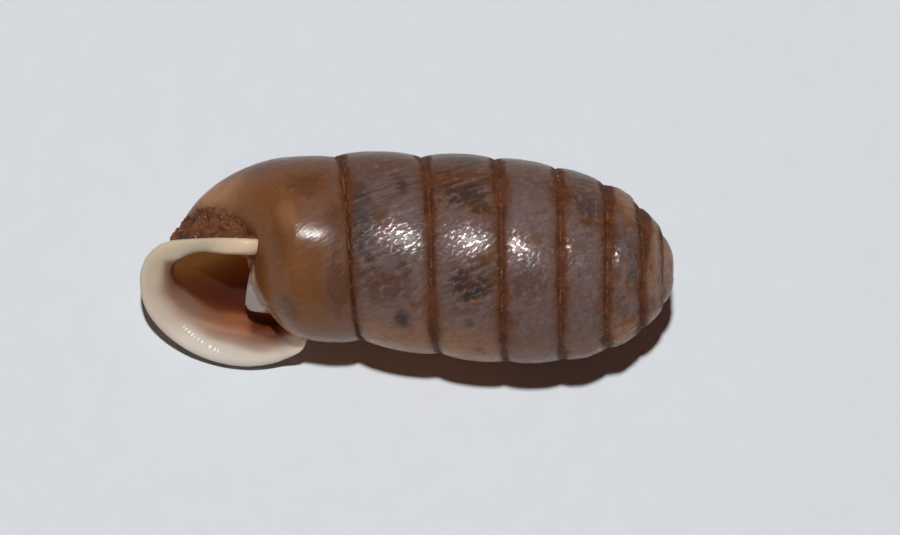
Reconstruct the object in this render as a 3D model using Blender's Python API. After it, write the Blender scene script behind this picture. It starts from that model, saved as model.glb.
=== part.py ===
"""Chrysalis-shaped land snail shell, eight whorls, with a wide turned-back white lip.

The shell is one hollow piece. Its surface is a loft between unlike sections that wind round
the axis, so the faces are laid out by rule: each section is a curve from the suture over the
side of the whorl, round the base and up into the small hole in the middle of the base.
Sizes are in millimetres along the axis ("along", from the tip of the spire) and away from it
("out"), and are turned into metres when the mesh is made.
"""

import math

import bmesh
import bpy
import numpy as np
from mathutils import Matrix, Vector

MM = 0.001

# Coiling
TURNS = 8.0
STEPS_PER_TURN = 40
SUTURE_SCALE = 0.09505
SUTURE_POWER = 1.98
MOUTH_ANGLE = math.radians(-113.0)

# Spire and body widths
SUTURE_RADIUS = 1.489
DOME_LENGTH = 2.858
DOME_POWER = 2.45
TIP_NARROWING = 0.13
TIP_LENGTH = 0.30
TAPER_START = 3.008
TAPER = 0.085
WHORL_BULGE = 0.08
CREASE_POWER = 0.6
TIP_ROUND = 0.02

# The suture climbs again just before the mouth
CLIMB_START = 7.60
CLIMB = 0.46
CLIMB_SPREAD = 0.165

# Base of the last whorl, at stations measured in turns before and up to the mouth
STATION_TURNS = (7.0, 7.3, 7.575, 7.8, 8.0)
FLANK_ALONG = (5.384, 5.655, 5.985, 6.196, 6.392)
FLANK_OUT = (1.451, 1.335, 1.235, 1.350, 1.549)
CREST_ALONG = (6.257, 6.392, 7.159, 7.475, 7.610)
CREST_OUT = (0.541, 0.271, 0.241, 0.361, 0.782)
SHOULDER = (0.43, 0.40, 0.42, 0.46, 0.50)
CREST_HANDLE = (0.41, 0.40, 0.50, 0.58, 0.65)
STATION_BULGE = (0.090, 0.055, 0.030, 0.040, 0.050)
FLANK_TURN_IN = 0.10
FREE_BLEND = 0.15
PIT_ALONG = 6.196
PIT_OUT = 0.105
PIT_EDGE_HANDLE = 0.35
PIT_TOP_HANDLE = 0.63
PIT_FLARE = 0.03

# Covered base of the earlier whorls
CREST_DROP = 0.70
CREST_SHARE = 0.39

# Walls
WALL = 0.090
SEPTUM_HALF = 0.045
COLUMELLA_RADIUS = 0.33
HOLLOW_START = 2.0
HOLLOW_STEPS = 20
HOLLOW_FIRST = 0.24
FINE_HOLLOW = 0.3
HOLLOW_AIM = 0.55
HOLLOW_LEAN = 0.38
MARCH_STEPS = 90
MARCH_START = 0.02
ROOM_MARGIN = 0.0001
CALLUS_TURNS = 0.10

# Turned-back lip, outer outline as (along, out) from the columella round to the suture
LIP_OUTLINE = (
    (6.29, 0.030), (6.80, 0.060), (7.30, 0.120), (7.60, 0.180), (7.82, 0.320), (7.96, 0.570),
    (7.98, 0.890), (7.88, 1.250), (7.69, 1.520), (7.41, 1.760), (7.06, 1.950), (6.65, 2.060),
    (6.25, 2.070), (5.90, 1.985), (5.63, 1.850), (5.46, 1.720), (5.40, 1.570),
)
LIP_END = (6.30, 0.28)
OUTLINE_STEPS = 240
# Lip across its width: share of the width, start (0 outer wall, 1 inner), reach forward, lift
LIP_PROFILE = (
    (0.22, 0, 0.55, -0.5), (0.55, 0, 0.86, -0.5), (0.90, 0, 0.92, -0.6), (1.00, 0, 0.95, 0.0),
    (0.93, 1, 0.97, 0.45), (0.72, 1, 1.00, 0.6), (0.45, 1, 0.86, 0.3), (0.20, 1, 0.55, 0.1),
)
RIM_RING = 3
LIP_FORWARD = 0.135
LIP_THICKNESS = 0.090
FULL_REACH_OUT = 1.5

# Tooth standing on the inner wall of the mouth
TOOTH_HEIGHT = 0.29
TOOTH_THICKNESS = 0.085
TOOTH_START = 0.010
TOOTH_TURNS = 0.20
TOOTH_ROOT = 0.06
TOOTH_PLACE = 0.60
TOOTH_STEPS = 12
TOOTH_TAIL_POWER = 0.6
TOOTH_FOOT_WIDTH = 1.5
TOOTH_TOP_WIDTH = 0.6
SLOPE_STEP = 0.02

# Resting pose on a flat table
REST_ROLL = math.radians(72.171)
REST_PITCH = math.radians(-1.3705)

SHARP_ANGLE = math.radians(50.0)

BAND_SHARES = (0.0, 0.1, 0.35, 0.65, 0.9, 1.0)
BASE_SHARES = (0.13, 0.26, 0.38, 0.50, 0.62, 0.74, 0.86, 1.0)
PIT_SHARES = (0.12, 0.25, 0.40, 0.56, 0.72, 0.88, 1.0)


def smooth_step(value):
    share = min(1.0, max(0.0, value))
    return share * share * (3.0 - 2.0 * share)


def between_stations(values, turn):
    """Smooth value between the stations of the last turn."""
    count = len(values) - 1
    place_on = min(STATION_TURNS[-1], max(STATION_TURNS[0], turn))
    index = max(i for i in range(count) if STATION_TURNS[i] <= place_on)
    span = STATION_TURNS[index + 1] - STATION_TURNS[index]
    slopes = []
    for at in (index, index + 1):
        low, high = max(0, at - 1), min(count, at + 1)
        slopes.append((values[high] - values[low]) / (STATION_TURNS[high] - STATION_TURNS[low]))
    part = (place_on - STATION_TURNS[index]) / span
    ends = (values[index], values[index] + slopes[0] * span / 3.0)
    ends += (values[index + 1] - slopes[1] * span / 3.0, values[index + 1])
    return float(bezier(ends, part))


def free_suture_along(turn):
    return SUTURE_SCALE * max(turn, 0.0) ** SUTURE_POWER


def suture_along(turn):
    climb = max(0.0, (turn - CLIMB_START) / (TURNS - CLIMB_START))
    return free_suture_along(turn) - CLIMB * climb * climb


def suture_out(turn):
    along = free_suture_along(turn)
    dome = 1.0 - max(0.0, 1.0 - along / DOME_LENGTH) ** DOME_POWER
    pointed = 1.0 - TIP_NARROWING * math.exp(-along / TIP_LENGTH)
    spread = CLIMB_SPREAD * smooth_step((turn - CLIMB_START) / (TURNS - CLIMB_START))
    taper = TAPER * max(0.0, along - TAPER_START)
    return SUTURE_RADIUS * math.sqrt(dome) * pointed - taper + spread


def suture_point(turn):
    return np.array([suture_along(turn), suture_out(turn)])


def flank_point(turn):
    """Lower end of the visible side: the next suture, or a free line on the last whorl."""
    if turn <= TURNS - 1.0:
        return suture_point(turn + 1.0)
    return np.array([between_stations(FLANK_ALONG, turn), between_stations(FLANK_OUT, turn)])


def bulge_at(turn):
    if turn <= TURNS - 1.0:
        return WHORL_BULGE
    return between_stations(STATION_BULGE, turn)


def side_point(turn, share):
    """Point on the visible side of a whorl, share 0 at the suture and 1 at the next one."""
    top, low = suture_point(turn), flank_point(turn)
    chord = low - top
    outward = np.array([-chord[1], chord[0]])
    free_end = smooth_step((turn - TURNS + 1.0) / FREE_BLEND)
    end_power = CREASE_POWER + (1.0 - CREASE_POWER) * free_end
    peak = CREASE_POWER / (CREASE_POWER + end_power)
    height = peak ** CREASE_POWER * (1.0 - peak) ** end_power
    swell = share ** CREASE_POWER * (1.0 - share) ** end_power / height
    return top + chord * share + outward * bulge_at(turn) * swell


def crest_point(turn):
    if turn <= TURNS - 1.0:
        reach = CREST_DROP * (free_suture_along(turn + 1.0) - free_suture_along(turn))
        return np.array([suture_along(turn + 1.0) + reach, CREST_SHARE * suture_out(turn + 1.0)])
    return np.array([between_stations(CREST_ALONG, turn), between_stations(CREST_OUT, turn)])


def pit_point(turn):
    if turn <= TURNS - 1.0:
        crest = crest_point(turn)
        last = crest_point(TURNS - 1.0)
        share = crest[1] / last[1]
        return np.array([crest[0] - (last[0] - PIT_ALONG) * share, PIT_OUT * share])
    return np.array([PIT_ALONG, PIT_OUT])


def bezier(points, share):
    back = 1.0 - share
    weights = (back ** 3, 3 * back * back * share, 3 * back * share * share, share ** 3)
    return sum(weight * np.asarray(point) for weight, point in zip(weights, points))


def base_point(turn, share):
    """Point under the whorl, share 0 at the flank line and 1 at the crest of the base."""
    flank, crest = flank_point(turn), crest_point(turn)
    chord = flank - suture_point(turn)
    slope = chord[1] / chord[0] - FLANK_TURN_IN
    reach = between_stations(SHOULDER, turn) * (crest[0] - flank[0])
    drop = between_stations(CREST_HANDLE, turn) * (flank[1] - crest[1])
    first = flank + np.array([1.0, slope]) * reach
    second = crest + np.array([0.0, drop])
    return bezier((flank, first, second, crest), share)


def pit_wall_point(turn, share):
    """Point on the wall that goes from the crest of the base up into the central pit."""
    crest, pit = crest_point(turn), pit_point(turn)
    first = np.array([crest[0], pit[1] + PIT_EDGE_HANDLE * (crest[1] - pit[1])])
    second = np.array([pit[0] + PIT_TOP_HANDLE * (crest[0] - pit[0]), pit[1] + PIT_FLARE])
    return bezier((crest, first, second, pit), share)


def under_points(turn):
    """The covered part of a section, from the flank line round to the pit."""
    points = [base_point(turn, share) for share in BASE_SHARES]
    return points + [pit_wall_point(turn, share) for share in PIT_SHARES]


def side_points(turn):
    return [side_point(turn, share) for share in BAND_SHARES]


def angle_at(turn):
    return MOUTH_ANGLE + 2.0 * math.pi * (turn - TURNS)


def place(section, turn):
    """Point of a section in the shell's own space, the spire's tip towards +X."""
    along, out = section
    angle = angle_at(turn)
    return np.array([-along, -out * math.cos(angle), out * math.sin(angle)])


def forward_at(turn):
    """Direction of growth across a section."""
    angle = angle_at(turn)
    return np.array([0.0, math.sin(angle), math.cos(angle)])


def distance_to_line(points, line):
    """Shortest distance of each point from an open line of sections."""
    starts, ends = line[:-1], line[1:]
    runs = ends - starts
    lengths = np.maximum((runs * runs).sum(axis=1), 1e-12)
    offsets = points[:, None, :] - starts[None, :, :]
    shares = np.clip((offsets * runs[None]).sum(axis=2) / lengths[None], 0.0, 1.0)
    nearest = starts[None] + runs[None] * shares[:, :, None]
    return np.sqrt(((points[:, None, :] - nearest) ** 2).sum(axis=2)).min(axis=1)


def fine_line(function, turn, count=15):
    return np.array([function(turn, index / (count - 1)) for index in range(count)])


def roof_half(turn):
    """Thickness laid on the whorl above, running out to nothing at the mouth."""
    return SEPTUM_HALF * smooth_step((TURNS - turn) / CALLUS_TURNS)


def floor_thickness(turn):
    if turn + 1.0 <= TURNS:
        return WALL - roof_half(turn + 1.0)
    return WALL


def hollow_centre(turn):
    """A point well inside the hollow of a whorl."""
    roof = base_point(turn - 1.0, HOLLOW_AIM)
    floor = base_point(turn, HOLLOW_AIM)
    low_roof, low_floor = crest_point(turn - 1.0), crest_point(turn)
    middle = 0.5 * (roof + floor)
    inner = 0.5 * (low_roof + low_floor)
    return middle + (inner - middle) * HOLLOW_LEAN


def hollow_section(turn, targets):
    """Inner outline: from the centre towards each target until the wall's thickness is met."""
    centre = hollow_centre(turn)
    outer = fine_line(side_point, turn)
    floor = np.vstack([fine_line(base_point, turn), fine_line(pit_wall_point, turn)])
    roof = np.vstack([fine_line(base_point, turn - 1.0), fine_line(pit_wall_point, turn - 1.0)])
    pillar = COLUMELLA_RADIUS * min(1.0, suture_out(turn) / suture_out(TURNS - 1.0))
    found = []
    for target in targets:
        shares = np.linspace(MARCH_START, 1.0, MARCH_STEPS)
        points = centre + (np.asarray(target) - centre) * shares[:, None]
        room = np.minimum(
            distance_to_line(points, outer) - WALL,
            distance_to_line(points, floor) - floor_thickness(turn),
        )
        room = np.minimum(room, distance_to_line(points, roof) - roof_half(turn) - ROOM_MARGIN)
        room = np.minimum(room, points[:, 1] - pillar)
        blocked = np.nonzero(room < 0.0)[0]
        last = len(shares) - 1 if len(blocked) == 0 else max(1, blocked[0])
        low, high = last - 1, last
        gap = room[low] - room[high]
        part = 1.0 if room[high] >= 0.0 else room[low] / gap
        found.append(points[low] + (points[high] - points[low]) * min(1.0, max(0.0, part)))
    return found


def curve_through(points, share):
    """Smooth open curve through the points, share from 0 to 1."""
    count = len(points) - 1
    place_on = min(count - 1e-9, max(0.0, share * count))
    index = int(place_on)
    part = place_on - index
    before, start = np.array(points[max(0, index - 1)]), np.array(points[index])
    end, after = np.array(points[index + 1]), np.array(points[min(count, index + 2)])
    first = start + (end - before) / 6.0
    second = end - (after - start) / 6.0
    return bezier((start, first, second, end), part)


def even_points(points, shares):
    """Points of a line at given shares of its whole length."""
    line = np.asarray(points)
    steps = np.sqrt(((line[1:] - line[:-1]) ** 2).sum(axis=1))
    reached = np.concatenate(([0.0], np.cumsum(steps)))
    wanted = np.asarray(shares) * reached[-1]
    return np.column_stack([np.interp(wanted, reached, line[:, axis]) for axis in (0, 1)])


def lip_edges(outer):
    """Point of the lip's outline for each point of the whorl's outline at the mouth."""
    steps = np.sqrt(((outer[1:] - outer[:-1]) ** 2).sum(axis=1))
    shares = np.concatenate(([0.0], np.cumsum(steps))) / steps.sum()
    outline = [curve_through(LIP_OUTLINE, 1.0 - index / OUTLINE_STEPS)
               for index in range(OUTLINE_STEPS + 1)]
    return even_points(outline, shares)


class Loft:
    """Collects vertices by name, so that sections which share a suture share its vertices."""

    def __init__(self):
        self.points = []
        self.faces = []

    def add(self, point):
        self.points.append(np.asarray(point, dtype=float))
        return len(self.points) - 1

    def strip(self, first, second):
        """Faces between two rows of vertices, leaving out sides that have no length."""
        for index in range(len(first) - 1):
            ring = [first[index], first[index + 1], second[index + 1], second[index]]
            kept = [ring[i] for i in range(4) if ring[i] != ring[i - 1]]
            if len(kept) > 2:
                self.faces.append(kept)

    def uneven_strip(self, first, second):
        """Triangles between two rows that have different numbers of vertices."""
        one, two = 0, 0
        while one < len(first) - 1 or two < len(second) - 1:
            share_one = (one + 1) / max(1, len(first) - 1)
            share_two = (two + 1) / max(1, len(second) - 1)
            if two == len(second) - 1 or (one < len(first) - 1 and share_one <= share_two):
                self.faces.append([first[one], first[one + 1], second[two]])
                one += 1
            else:
                self.faces.append([first[one], second[two + 1], second[two]])
                two += 1

    def fan(self, ring, hub):
        for index in range(len(ring)):
            self.faces.append([ring[index], ring[(index + 1) % len(ring)], hub])


def outer_rows(loft):
    """Outer surface: one row of vertices for each step along the spiral."""
    last = int(TURNS * STEPS_PER_TURN)
    rows = [None] * (last + 1)
    pit = []
    for step in range(last, -1, -1):
        turn = step / STEPS_PER_TURN
        joined = step + STEPS_PER_TURN
        row = [loft.add(place(point, turn)) for point in side_points(turn)[:-1]]
        rows[step] = row
        if joined <= last:
            row.append(rows[joined][0])
        else:
            row.append(loft.add(place(flank_point(turn), turn)))
    start = last - STEPS_PER_TURN
    for step in range(start, last + 1):
        turn = step / STEPS_PER_TURN
        under = under_points(turn)
        row = [loft.add(place(point, turn)) for point in under[:-1]]
        if step < last:
            pit.append(loft.add(place(under[-1], turn)))
            row.append(pit[-1])
        else:
            row.append(pit[0])
        rows[step] = rows[step] + row
    return rows, pit


def skin_outside(loft, rows, pit):
    sides = len(BAND_SHARES)
    for first, second in zip(rows[:-1], rows[1:]):
        shared = min(len(first), len(second))
        loft.strip(first[:shared], second[:shared])
    middle = np.mean([loft.points[index] for index in pit], axis=0)
    loft.fan(pit[::-1], loft.add(middle))
    spiral = [rows[step][0] for step in range(STEPS_PER_TURN + 1)]
    start = rows[0][:sides]
    ring = start + spiral[::-1][1:-1]
    middle = np.mean([loft.points[index] for index in ring], axis=0)
    loft.fan(ring, loft.add(middle + np.array([TIP_ROUND, 0.0, 0.0])))


def lip_columns(rows):
    """Columns of the last section that carry the lip, and those of the wall facing them."""
    sides = len(BAND_SHARES)
    last = len(rows[-1]) - 1
    wall_low = sides + len(BASE_SHARES) + 1
    wall_high = sides + 1
    return list(range(1, last)), list(range(wall_low, wall_high - 1, -1))


def section_of(turn, column):
    points = side_points(turn) + under_points(turn)
    return points[column]


def on_mouth_plane(section, forward, turn=TURNS):
    """Point of the mouth's section moved forward along the growth direction."""
    return place(section, turn) + forward_at(turn) * forward


def hollow_targets(turn, lips, wall):
    """Points of the whorl's outline that the rows of the hollow aim at."""
    targets = [section_of(turn, index) for index in lips]
    targets[0] = side_point(turn, HOLLOW_FIRST)
    return targets + [section_of(turn - 1.0, index) for index in wall]


def lip_rings(loft, rows, inner):
    """Rings of the trumpet: back of the lip, rounded edge, front and funnel."""
    lips, _ = lip_columns(rows)
    outers = np.array([section_of(TURNS, index) for index in lips])
    edges = lip_edges(outers)
    rings = [[] for _ in LIP_PROFILE]
    for column, (outer, edge) in enumerate(zip(outers, edges)):
        reach = math.sqrt(min(1.0, outer[1] / FULL_REACH_OUT))
        for ring, (share, inside, ahead, lift) in zip(rings, LIP_PROFILE):
            start = inner[column] if inside else outer
            if inside and column == len(lips) - 1:
                start = np.array(LIP_END)
            point = start + (edge - start) * share
            forward = LIP_FORWARD * reach * ahead + LIP_THICKNESS * lift
            ring.append(loft.add(on_mouth_plane(point, forward)))
    return rings


def hollow_rows(loft, rows):
    """Inner surface: rows of vertices from the mouth back to the closed end."""
    lips, wall = lip_columns(rows)
    mouth = hollow_section(TURNS, hollow_targets(TURNS, lips, []))
    first = [loft.add(place(point, TURNS)) for point in mouth]
    first += [rows[-1 - STEPS_PER_TURN][index] for index in wall]
    found = [first]
    turn = TURNS
    while turn > HOLLOW_START + 1e-6:
        near_mouth = turn > TURNS - FINE_HOLLOW
        turn -= 1.0 / STEPS_PER_TURN if near_mouth else 1.0 / HOLLOW_STEPS
        turn = max(turn, HOLLOW_START)
        targets = hollow_targets(turn, lips, wall)
        if not near_mouth:
            targets = targets[::2]
        points = hollow_section(turn, targets)
        found.append([loft.add(place(point, turn)) for point in points])
    return found, mouth


def close_mouth(loft, rows, rings, mouth_row):
    """Joins the outer rim, the lip's rings and the hollow, and closes the lip's two ends."""
    lips, wall = lip_columns(rows)
    count = len(lips)
    edge_row = [rows[-1][index] for index in lips]
    layers = [edge_row] + rings + [mouth_row[:count]]
    for first, second in zip(layers[:-1], layers[1:]):
        loft.strip(first, second)
    behind = rows[-1 - STEPS_PER_TURN]
    pit_chain = behind[:wall[0] - 1:-1]
    suture_chain = behind[len(BAND_SHARES) - 1:wall[-1] + 1]
    close_end(loft, [layer[-1] for layer in layers], pit_chain)
    close_end(loft, [layer[0] for layer in layers], suture_chain)


def close_end(loft, column, chain):
    """Closes one end of the lip against the whorl it grows from."""
    edge = RIM_RING + 1
    for index in range(edge):
        loft.faces.append([chain[0], column[index], column[index + 1]])
    loft.uneven_strip(column[edge:], chain)


def skin_hollow(loft, found):
    for first, second in zip(found[:-1], found[1:]):
        if len(first) == len(second):
            loft.strip(first + first[:1], second + second[:1])
        else:
            loft.uneven_strip(first + first[:1], second + second[:1])
    end = found[-1]
    middle = np.mean([loft.points[index] for index in end], axis=0)
    loft.fan(end, loft.add(middle))


def tooth_mesh(name):
    """Low plate that stands on the inner wall of the mouth and runs back into the whorl."""
    work = bmesh.new()
    sections = []
    for step in range(TOOTH_STEPS + 1):
        share = step / TOOTH_STEPS
        turn = TURNS - TOOTH_START - TOOTH_TURNS * share
        foot = base_point(turn - 1.0, TOOTH_PLACE)
        ahead = base_point(turn - 1.0, TOOTH_PLACE + SLOPE_STEP)
        ahead -= base_point(turn - 1.0, TOOTH_PLACE - SLOPE_STEP)
        ahead /= np.linalg.norm(ahead)
        up = np.array([-ahead[1], ahead[0]])
        if up[0] < 0.0:
            up = -up
        height = TOOTH_HEIGHT * math.cos(0.5 * math.pi * share) ** TOOTH_TAIL_POWER
        half = ahead * TOOTH_THICKNESS / 2.0
        corners = (
            foot - half * TOOTH_FOOT_WIDTH - up * TOOTH_ROOT,
            foot - half + up * height / 2.0,
            foot - half * TOOTH_TOP_WIDTH + up * height,
            foot + half * TOOTH_TOP_WIDTH + up * height,
            foot + half + up * height / 2.0,
            foot + half * TOOTH_FOOT_WIDTH - up * TOOTH_ROOT,
        )
        sections.append([work.verts.new(Vector(place(corner, turn) * MM)) for corner in corners])
    for first, second in zip(sections[:-1], sections[1:]):
        for index in range(len(first)):
            after = (index + 1) % len(first)
            work.faces.new((first[index], first[after], second[after], second[index]))
    work.faces.new(sections[0][::-1])
    work.faces.new(sections[-1])
    bmesh.ops.recalc_face_normals(work, faces=work.faces)
    mesh = bpy.data.meshes.new(name)
    work.to_mesh(mesh)
    work.free()
    return mesh


def shell_mesh(name):
    loft = Loft()
    rows, pit = outer_rows(loft)
    skin_outside(loft, rows, pit)
    found, mouth = hollow_rows(loft, rows)
    rings = lip_rings(loft, rows, mouth)
    close_mouth(loft, rows, rings, found[0])
    skin_hollow(loft, found)
    work = bmesh.new()
    verts = [work.verts.new(Vector(point * MM)) for point in loft.points]
    for face in loft.faces:
        work.faces.new([verts[index] for index in face])
    bmesh.ops.recalc_face_normals(work, faces=work.faces)
    bmesh.ops.triangulate(work, faces=work.faces)
    mesh = bpy.data.meshes.new(name)
    work.to_mesh(mesh)
    work.free()
    return mesh


def shell_material():
    material = bpy.data.materials.new("thin_brown_shell")
    material.use_nodes = True
    shader = material.node_tree.nodes["Principled BSDF"]
    shader.inputs["Base Color"].default_value = (0.19, 0.105, 0.06, 1.0)
    shader.inputs["Roughness"].default_value = 0.32
    shader.inputs["Metallic"].default_value = 0.0
    return material


def clear_scene():
    for item in list(bpy.data.objects):
        bpy.data.objects.remove(item, do_unlink=True)


def new_collection(name):
    collection = bpy.data.collections.new(name)
    bpy.context.scene.collection.children.link(collection)
    return collection


def rest_placement(mesh):
    """Lays the shell on the table, with the origin under the middle of its bounding box."""
    turn = Matrix.Rotation(REST_PITCH, 4, "Y") @ Matrix.Rotation(-REST_ROLL, 4, "X")
    points = np.array([turn @ vertex.co for vertex in mesh.vertices])
    low, high = points.min(axis=0), points.max(axis=0)
    middle = (low + high) / 2.0
    return Matrix.Translation((-middle[0], -middle[1], -low[2])) @ turn


def build():
    clear_scene()
    parts = new_collection("land_snail_shell")
    cutters = new_collection("land_snail_shell_cutters")
    shell = bpy.data.objects.new("shell", shell_mesh("shell"))
    shell.data.materials.append(shell_material())
    parts.objects.link(shell)
    tooth = bpy.data.objects.new("tooth_blank", tooth_mesh("tooth_blank"))
    tooth.hide_render = True
    tooth.display_type = "WIRE"
    cutters.objects.link(tooth)
    union = shell.modifiers.new("tooth", "BOOLEAN")
    union.operation = "UNION"
    union.solver = "EXACT"
    union.object = tooth
    placement = rest_placement(shell.data)
    shell.matrix_world = placement
    tooth.matrix_world = placement
    shell.data.shade_smooth()
    shell.data.set_sharp_from_angle(angle=SHARP_ANGLE)


build()
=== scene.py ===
# A small land snail shell on pale paper: spire, last whorl with its mouth, tooth, soil in the sutures.
import math

import bmesh
import bpy
import numpy as np
from mathutils import Matrix, Vector


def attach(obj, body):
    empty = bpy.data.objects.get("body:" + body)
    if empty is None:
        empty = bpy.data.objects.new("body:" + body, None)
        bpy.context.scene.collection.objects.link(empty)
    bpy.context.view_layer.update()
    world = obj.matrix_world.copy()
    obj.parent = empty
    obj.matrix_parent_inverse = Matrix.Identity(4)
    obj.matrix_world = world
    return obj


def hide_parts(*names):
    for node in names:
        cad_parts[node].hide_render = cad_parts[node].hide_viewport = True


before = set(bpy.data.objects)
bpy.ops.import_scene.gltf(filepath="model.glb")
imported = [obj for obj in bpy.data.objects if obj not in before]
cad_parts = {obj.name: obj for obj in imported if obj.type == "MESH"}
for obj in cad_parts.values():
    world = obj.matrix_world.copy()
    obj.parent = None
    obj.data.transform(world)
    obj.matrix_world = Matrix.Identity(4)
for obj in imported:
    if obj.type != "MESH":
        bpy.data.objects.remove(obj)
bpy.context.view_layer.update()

mm = 0.001

# Sizes of the coil, in millimetres along the axis from the tip and out from the axis, and in turns.
coil = {
    "turns": 8.0, "sutureScale": 0.09505, "suturePower": 1.98,
    "sutureRadius": 1.489, "domeLength": 2.858, "domePower": 2.45,
    "tipNarrowing": 0.13, "tipLength": 0.30, "taperStart": 3.008, "taper": 0.085,
    "climbStart": 7.60, "climb": 0.46, "climbSpread": 0.165,
    "bulge": 0.08, "tipBulge": 0.6, "creasePower": 0.6, "mouthAngle": math.radians(-113.0),
}

# How the shell lies on the paper: roll and pitch, then the shift that puts the origin under its middle.
lying = {"roll": math.radians(72.171), "pitch": math.radians(-1.3705), "shift": (3.981326, 0.057581, 1.609633)}

# Last whorl at five stations, turns counted from the tip.
lastWhorl = {
    "stations": (7.0, 7.3, 7.575, 7.8, 8.0),
    "flankAlong": (5.384, 5.655, 5.985, 6.196, 6.392), "flankOut": (1.451, 1.410, 1.235, 1.350, 1.549),
    "crestAlong": (6.257, 6.392, 7.159, 7.475, 7.610), "crestOut": (0.541, 0.271, 0.241, 0.361, 0.782),
    "shoulder": (0.43, 0.40, 0.42, 0.46, 0.50), "crestHandle": (0.41, 0.40, 0.50, 0.58, 0.65),
    "bulge": (0.090, 0.055, 0.030, 0.040, 0.050), "flankTurnIn": 0.10, "freeBlend": 0.15,
    "pitAlong": 6.196, "pitOut": 0.105, "pitHandles": (0.35, 0.63, 0.03),
    "crestDrop": 0.70, "crestShare": 0.39,
    "stepsPerTurn": 720, "sideColumns": 40, "baseColumns": 26, "pitColumns": 10,
}

# Hollow behind the mouth.
hollow = {
    "wall": 0.090, "septumHalf": 0.045, "pillar": 0.33, "callus": 0.10, "aim": 0.55, "lean": 0.38,
    "first": 0.24, "end": 7.07, "marchSteps": 110, "marchStart": 0.02, "fineDepth": 0.36,
}

# Turned-back lip: outline as (along, out), then its section as (share of width, from inner wall, forward, lift).
lip = {
    "outline": (
        (6.245, 0.030), (6.80, 0.060), (7.30, 0.120), (7.60, 0.180), (7.82, 0.320), (7.96, 0.570),
        (7.98, 0.890), (7.88, 1.250), (7.69, 1.520), (7.41, 1.760), (7.06, 1.950), (6.65, 2.060),
        (6.25, 2.070), (5.90, 1.985), (5.63, 1.850), (5.46, 1.720), (5.40, 1.570)),
    "section": (
        (0.22, 0, 0.55, -0.5), (0.55, 0, 0.86, -0.5), (0.90, 0, 0.92, -0.6), (1.00, 0, 0.96, -0.1),
        (0.97, 1, 1.00, 0.35), (0.85, 1, 1.00, 0.45), (0.66, 1, 0.90, 0.10), (0.43, 1, 0.80, -0.05),
        (0.22, 1, 0.66, -0.05), (0.08, 1, 0.42, 0.0), (0.015, 1, 0.18, 0.0)),
    "innerLift": (-0.5, -0.5, -0.6, -0.1, 0.30, 0.55, 0.68, 0.60, 0.36, 0.10, 0.0),
    "softRings": 9, "softRows": 7, "softSteps": 18, "softMost": 0.080,
    "end": (6.25, 0.28), "forward": 0.135, "thickness": 0.090, "fullReach": 1.5,
    # both ends of the lip come forward over the last whorl
    "innerRise": 0.80, "innerFrom": 7.45, "innerTo": 6.30, "outerRise": 0.12, "outerSink": 0.16, "outerFrom": 7.90, "outerTo": 6.20,
    "endRise": 0.32, "endOver": 0.42,
    "rimRing": 3, "ringsBetween": 3, "paleDepth": 0.10, "innerPale": 0.14,
}


# Expressions on sockets

class Worth:
    # one socket, so that sums on it are written as plain Python and add Math nodes
    def __init__(self, bench, socket):
        self.bench = bench
        self.socket = socket

    def sum(self, operation, *others):
        return self.bench.add("ShaderNodeMath", {"operation": operation}, dict(enumerate((self,) + others)))

    def __add__(self, other): return self.sum("ADD", other)
    def __sub__(self, other): return self.sum("SUBTRACT", other)
    def __mul__(self, other): return self.sum("MULTIPLY", other)
    def __truediv__(self, other): return self.sum("DIVIDE", other)
    def __pow__(self, other): return self.sum("POWER", other)
    def __neg__(self): return self.sum("MULTIPLY", -1.0)
    def __radd__(self, other): return self.sum("ADD", other)
    def __rmul__(self, other): return self.sum("MULTIPLY", other)
    def __rsub__(self, other): return self.bench.add("ShaderNodeMath", {"operation": "SUBTRACT"}, {0: other, 1: self})
    def __rtruediv__(self, other): return self.bench.add("ShaderNodeMath", {"operation": "DIVIDE"}, {0: other, 1: self})


class Bench:
    # adds nodes to one tree
    def __init__(self, tree):
        self.tree = tree

    def add(self, kind, settings=None, inputs=None, output=0):
        node = self.tree.nodes.new(kind)
        for name, setting in (settings or {}).items():
            if name == "stops":
                self.setStops(node.color_ramp, setting)
            else:
                setattr(node, name, setting)
        for name, given in (inputs or {}).items():
            self.feed(node.inputs[name], given)
        return Worth(self, node.outputs[output])

    def feed(self, socket, given):
        if isinstance(given, Worth):
            self.tree.links.new(given.socket, socket)
        else:
            socket.default_value = given

    def setStops(self, ramp, stops):
        while len(ramp.elements) < len(stops):
            ramp.elements.new(0.5)
        for element, (position, colour) in zip(ramp.elements, stops):
            element.position = position
            element.color = (*colour, 1.0) if len(colour) == 3 else colour

    def vector(self, operation, first, second, output=0):
        return self.add("ShaderNodeVectorMath", {"operation": operation}, {0: first, 1: second}, output)

    def combine(self, x, y, z):
        return self.add("ShaderNodeCombineXYZ", None, {0: x, 1: y, 2: z})

    def noise(self, vector, scale, detail=2.0, roughness=0.5, output=0):
        return self.add("ShaderNodeTexNoise", {"noise_dimensions": "3D"},
                        {"Vector": vector, "Scale": scale, "Detail": detail, "Roughness": roughness}, output)

    def colours(self, factor, first, second, blend="MIX"):
        node = self.tree.nodes.new("ShaderNodeMix")
        node.data_type = "RGBA"
        node.blend_type = blend
        self.feed(node.inputs[0], factor)
        self.feed(node.inputs[6], first if isinstance(first, Worth) else (*first, 1.0))
        self.feed(node.inputs[7], second if isinstance(second, Worth) else (*second, 1.0))
        return Worth(self, node.outputs[2])

    def between(self, value, low, high):
        # 0 below low, 1 above high, smooth between; low may be the larger one
        return self.add("ShaderNodeMapRange", {"interpolation_type": "SMOOTHSTEP"},
                        {"Value": value, "From Min": low, "From Max": high, "To Min": 0.0, "To Max": 1.0})


# The same sums for arrays and for sockets

def atLeast(value, low):
    return value.sum("MAXIMUM", low) if isinstance(value, Worth) else np.maximum(value, low)


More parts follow.
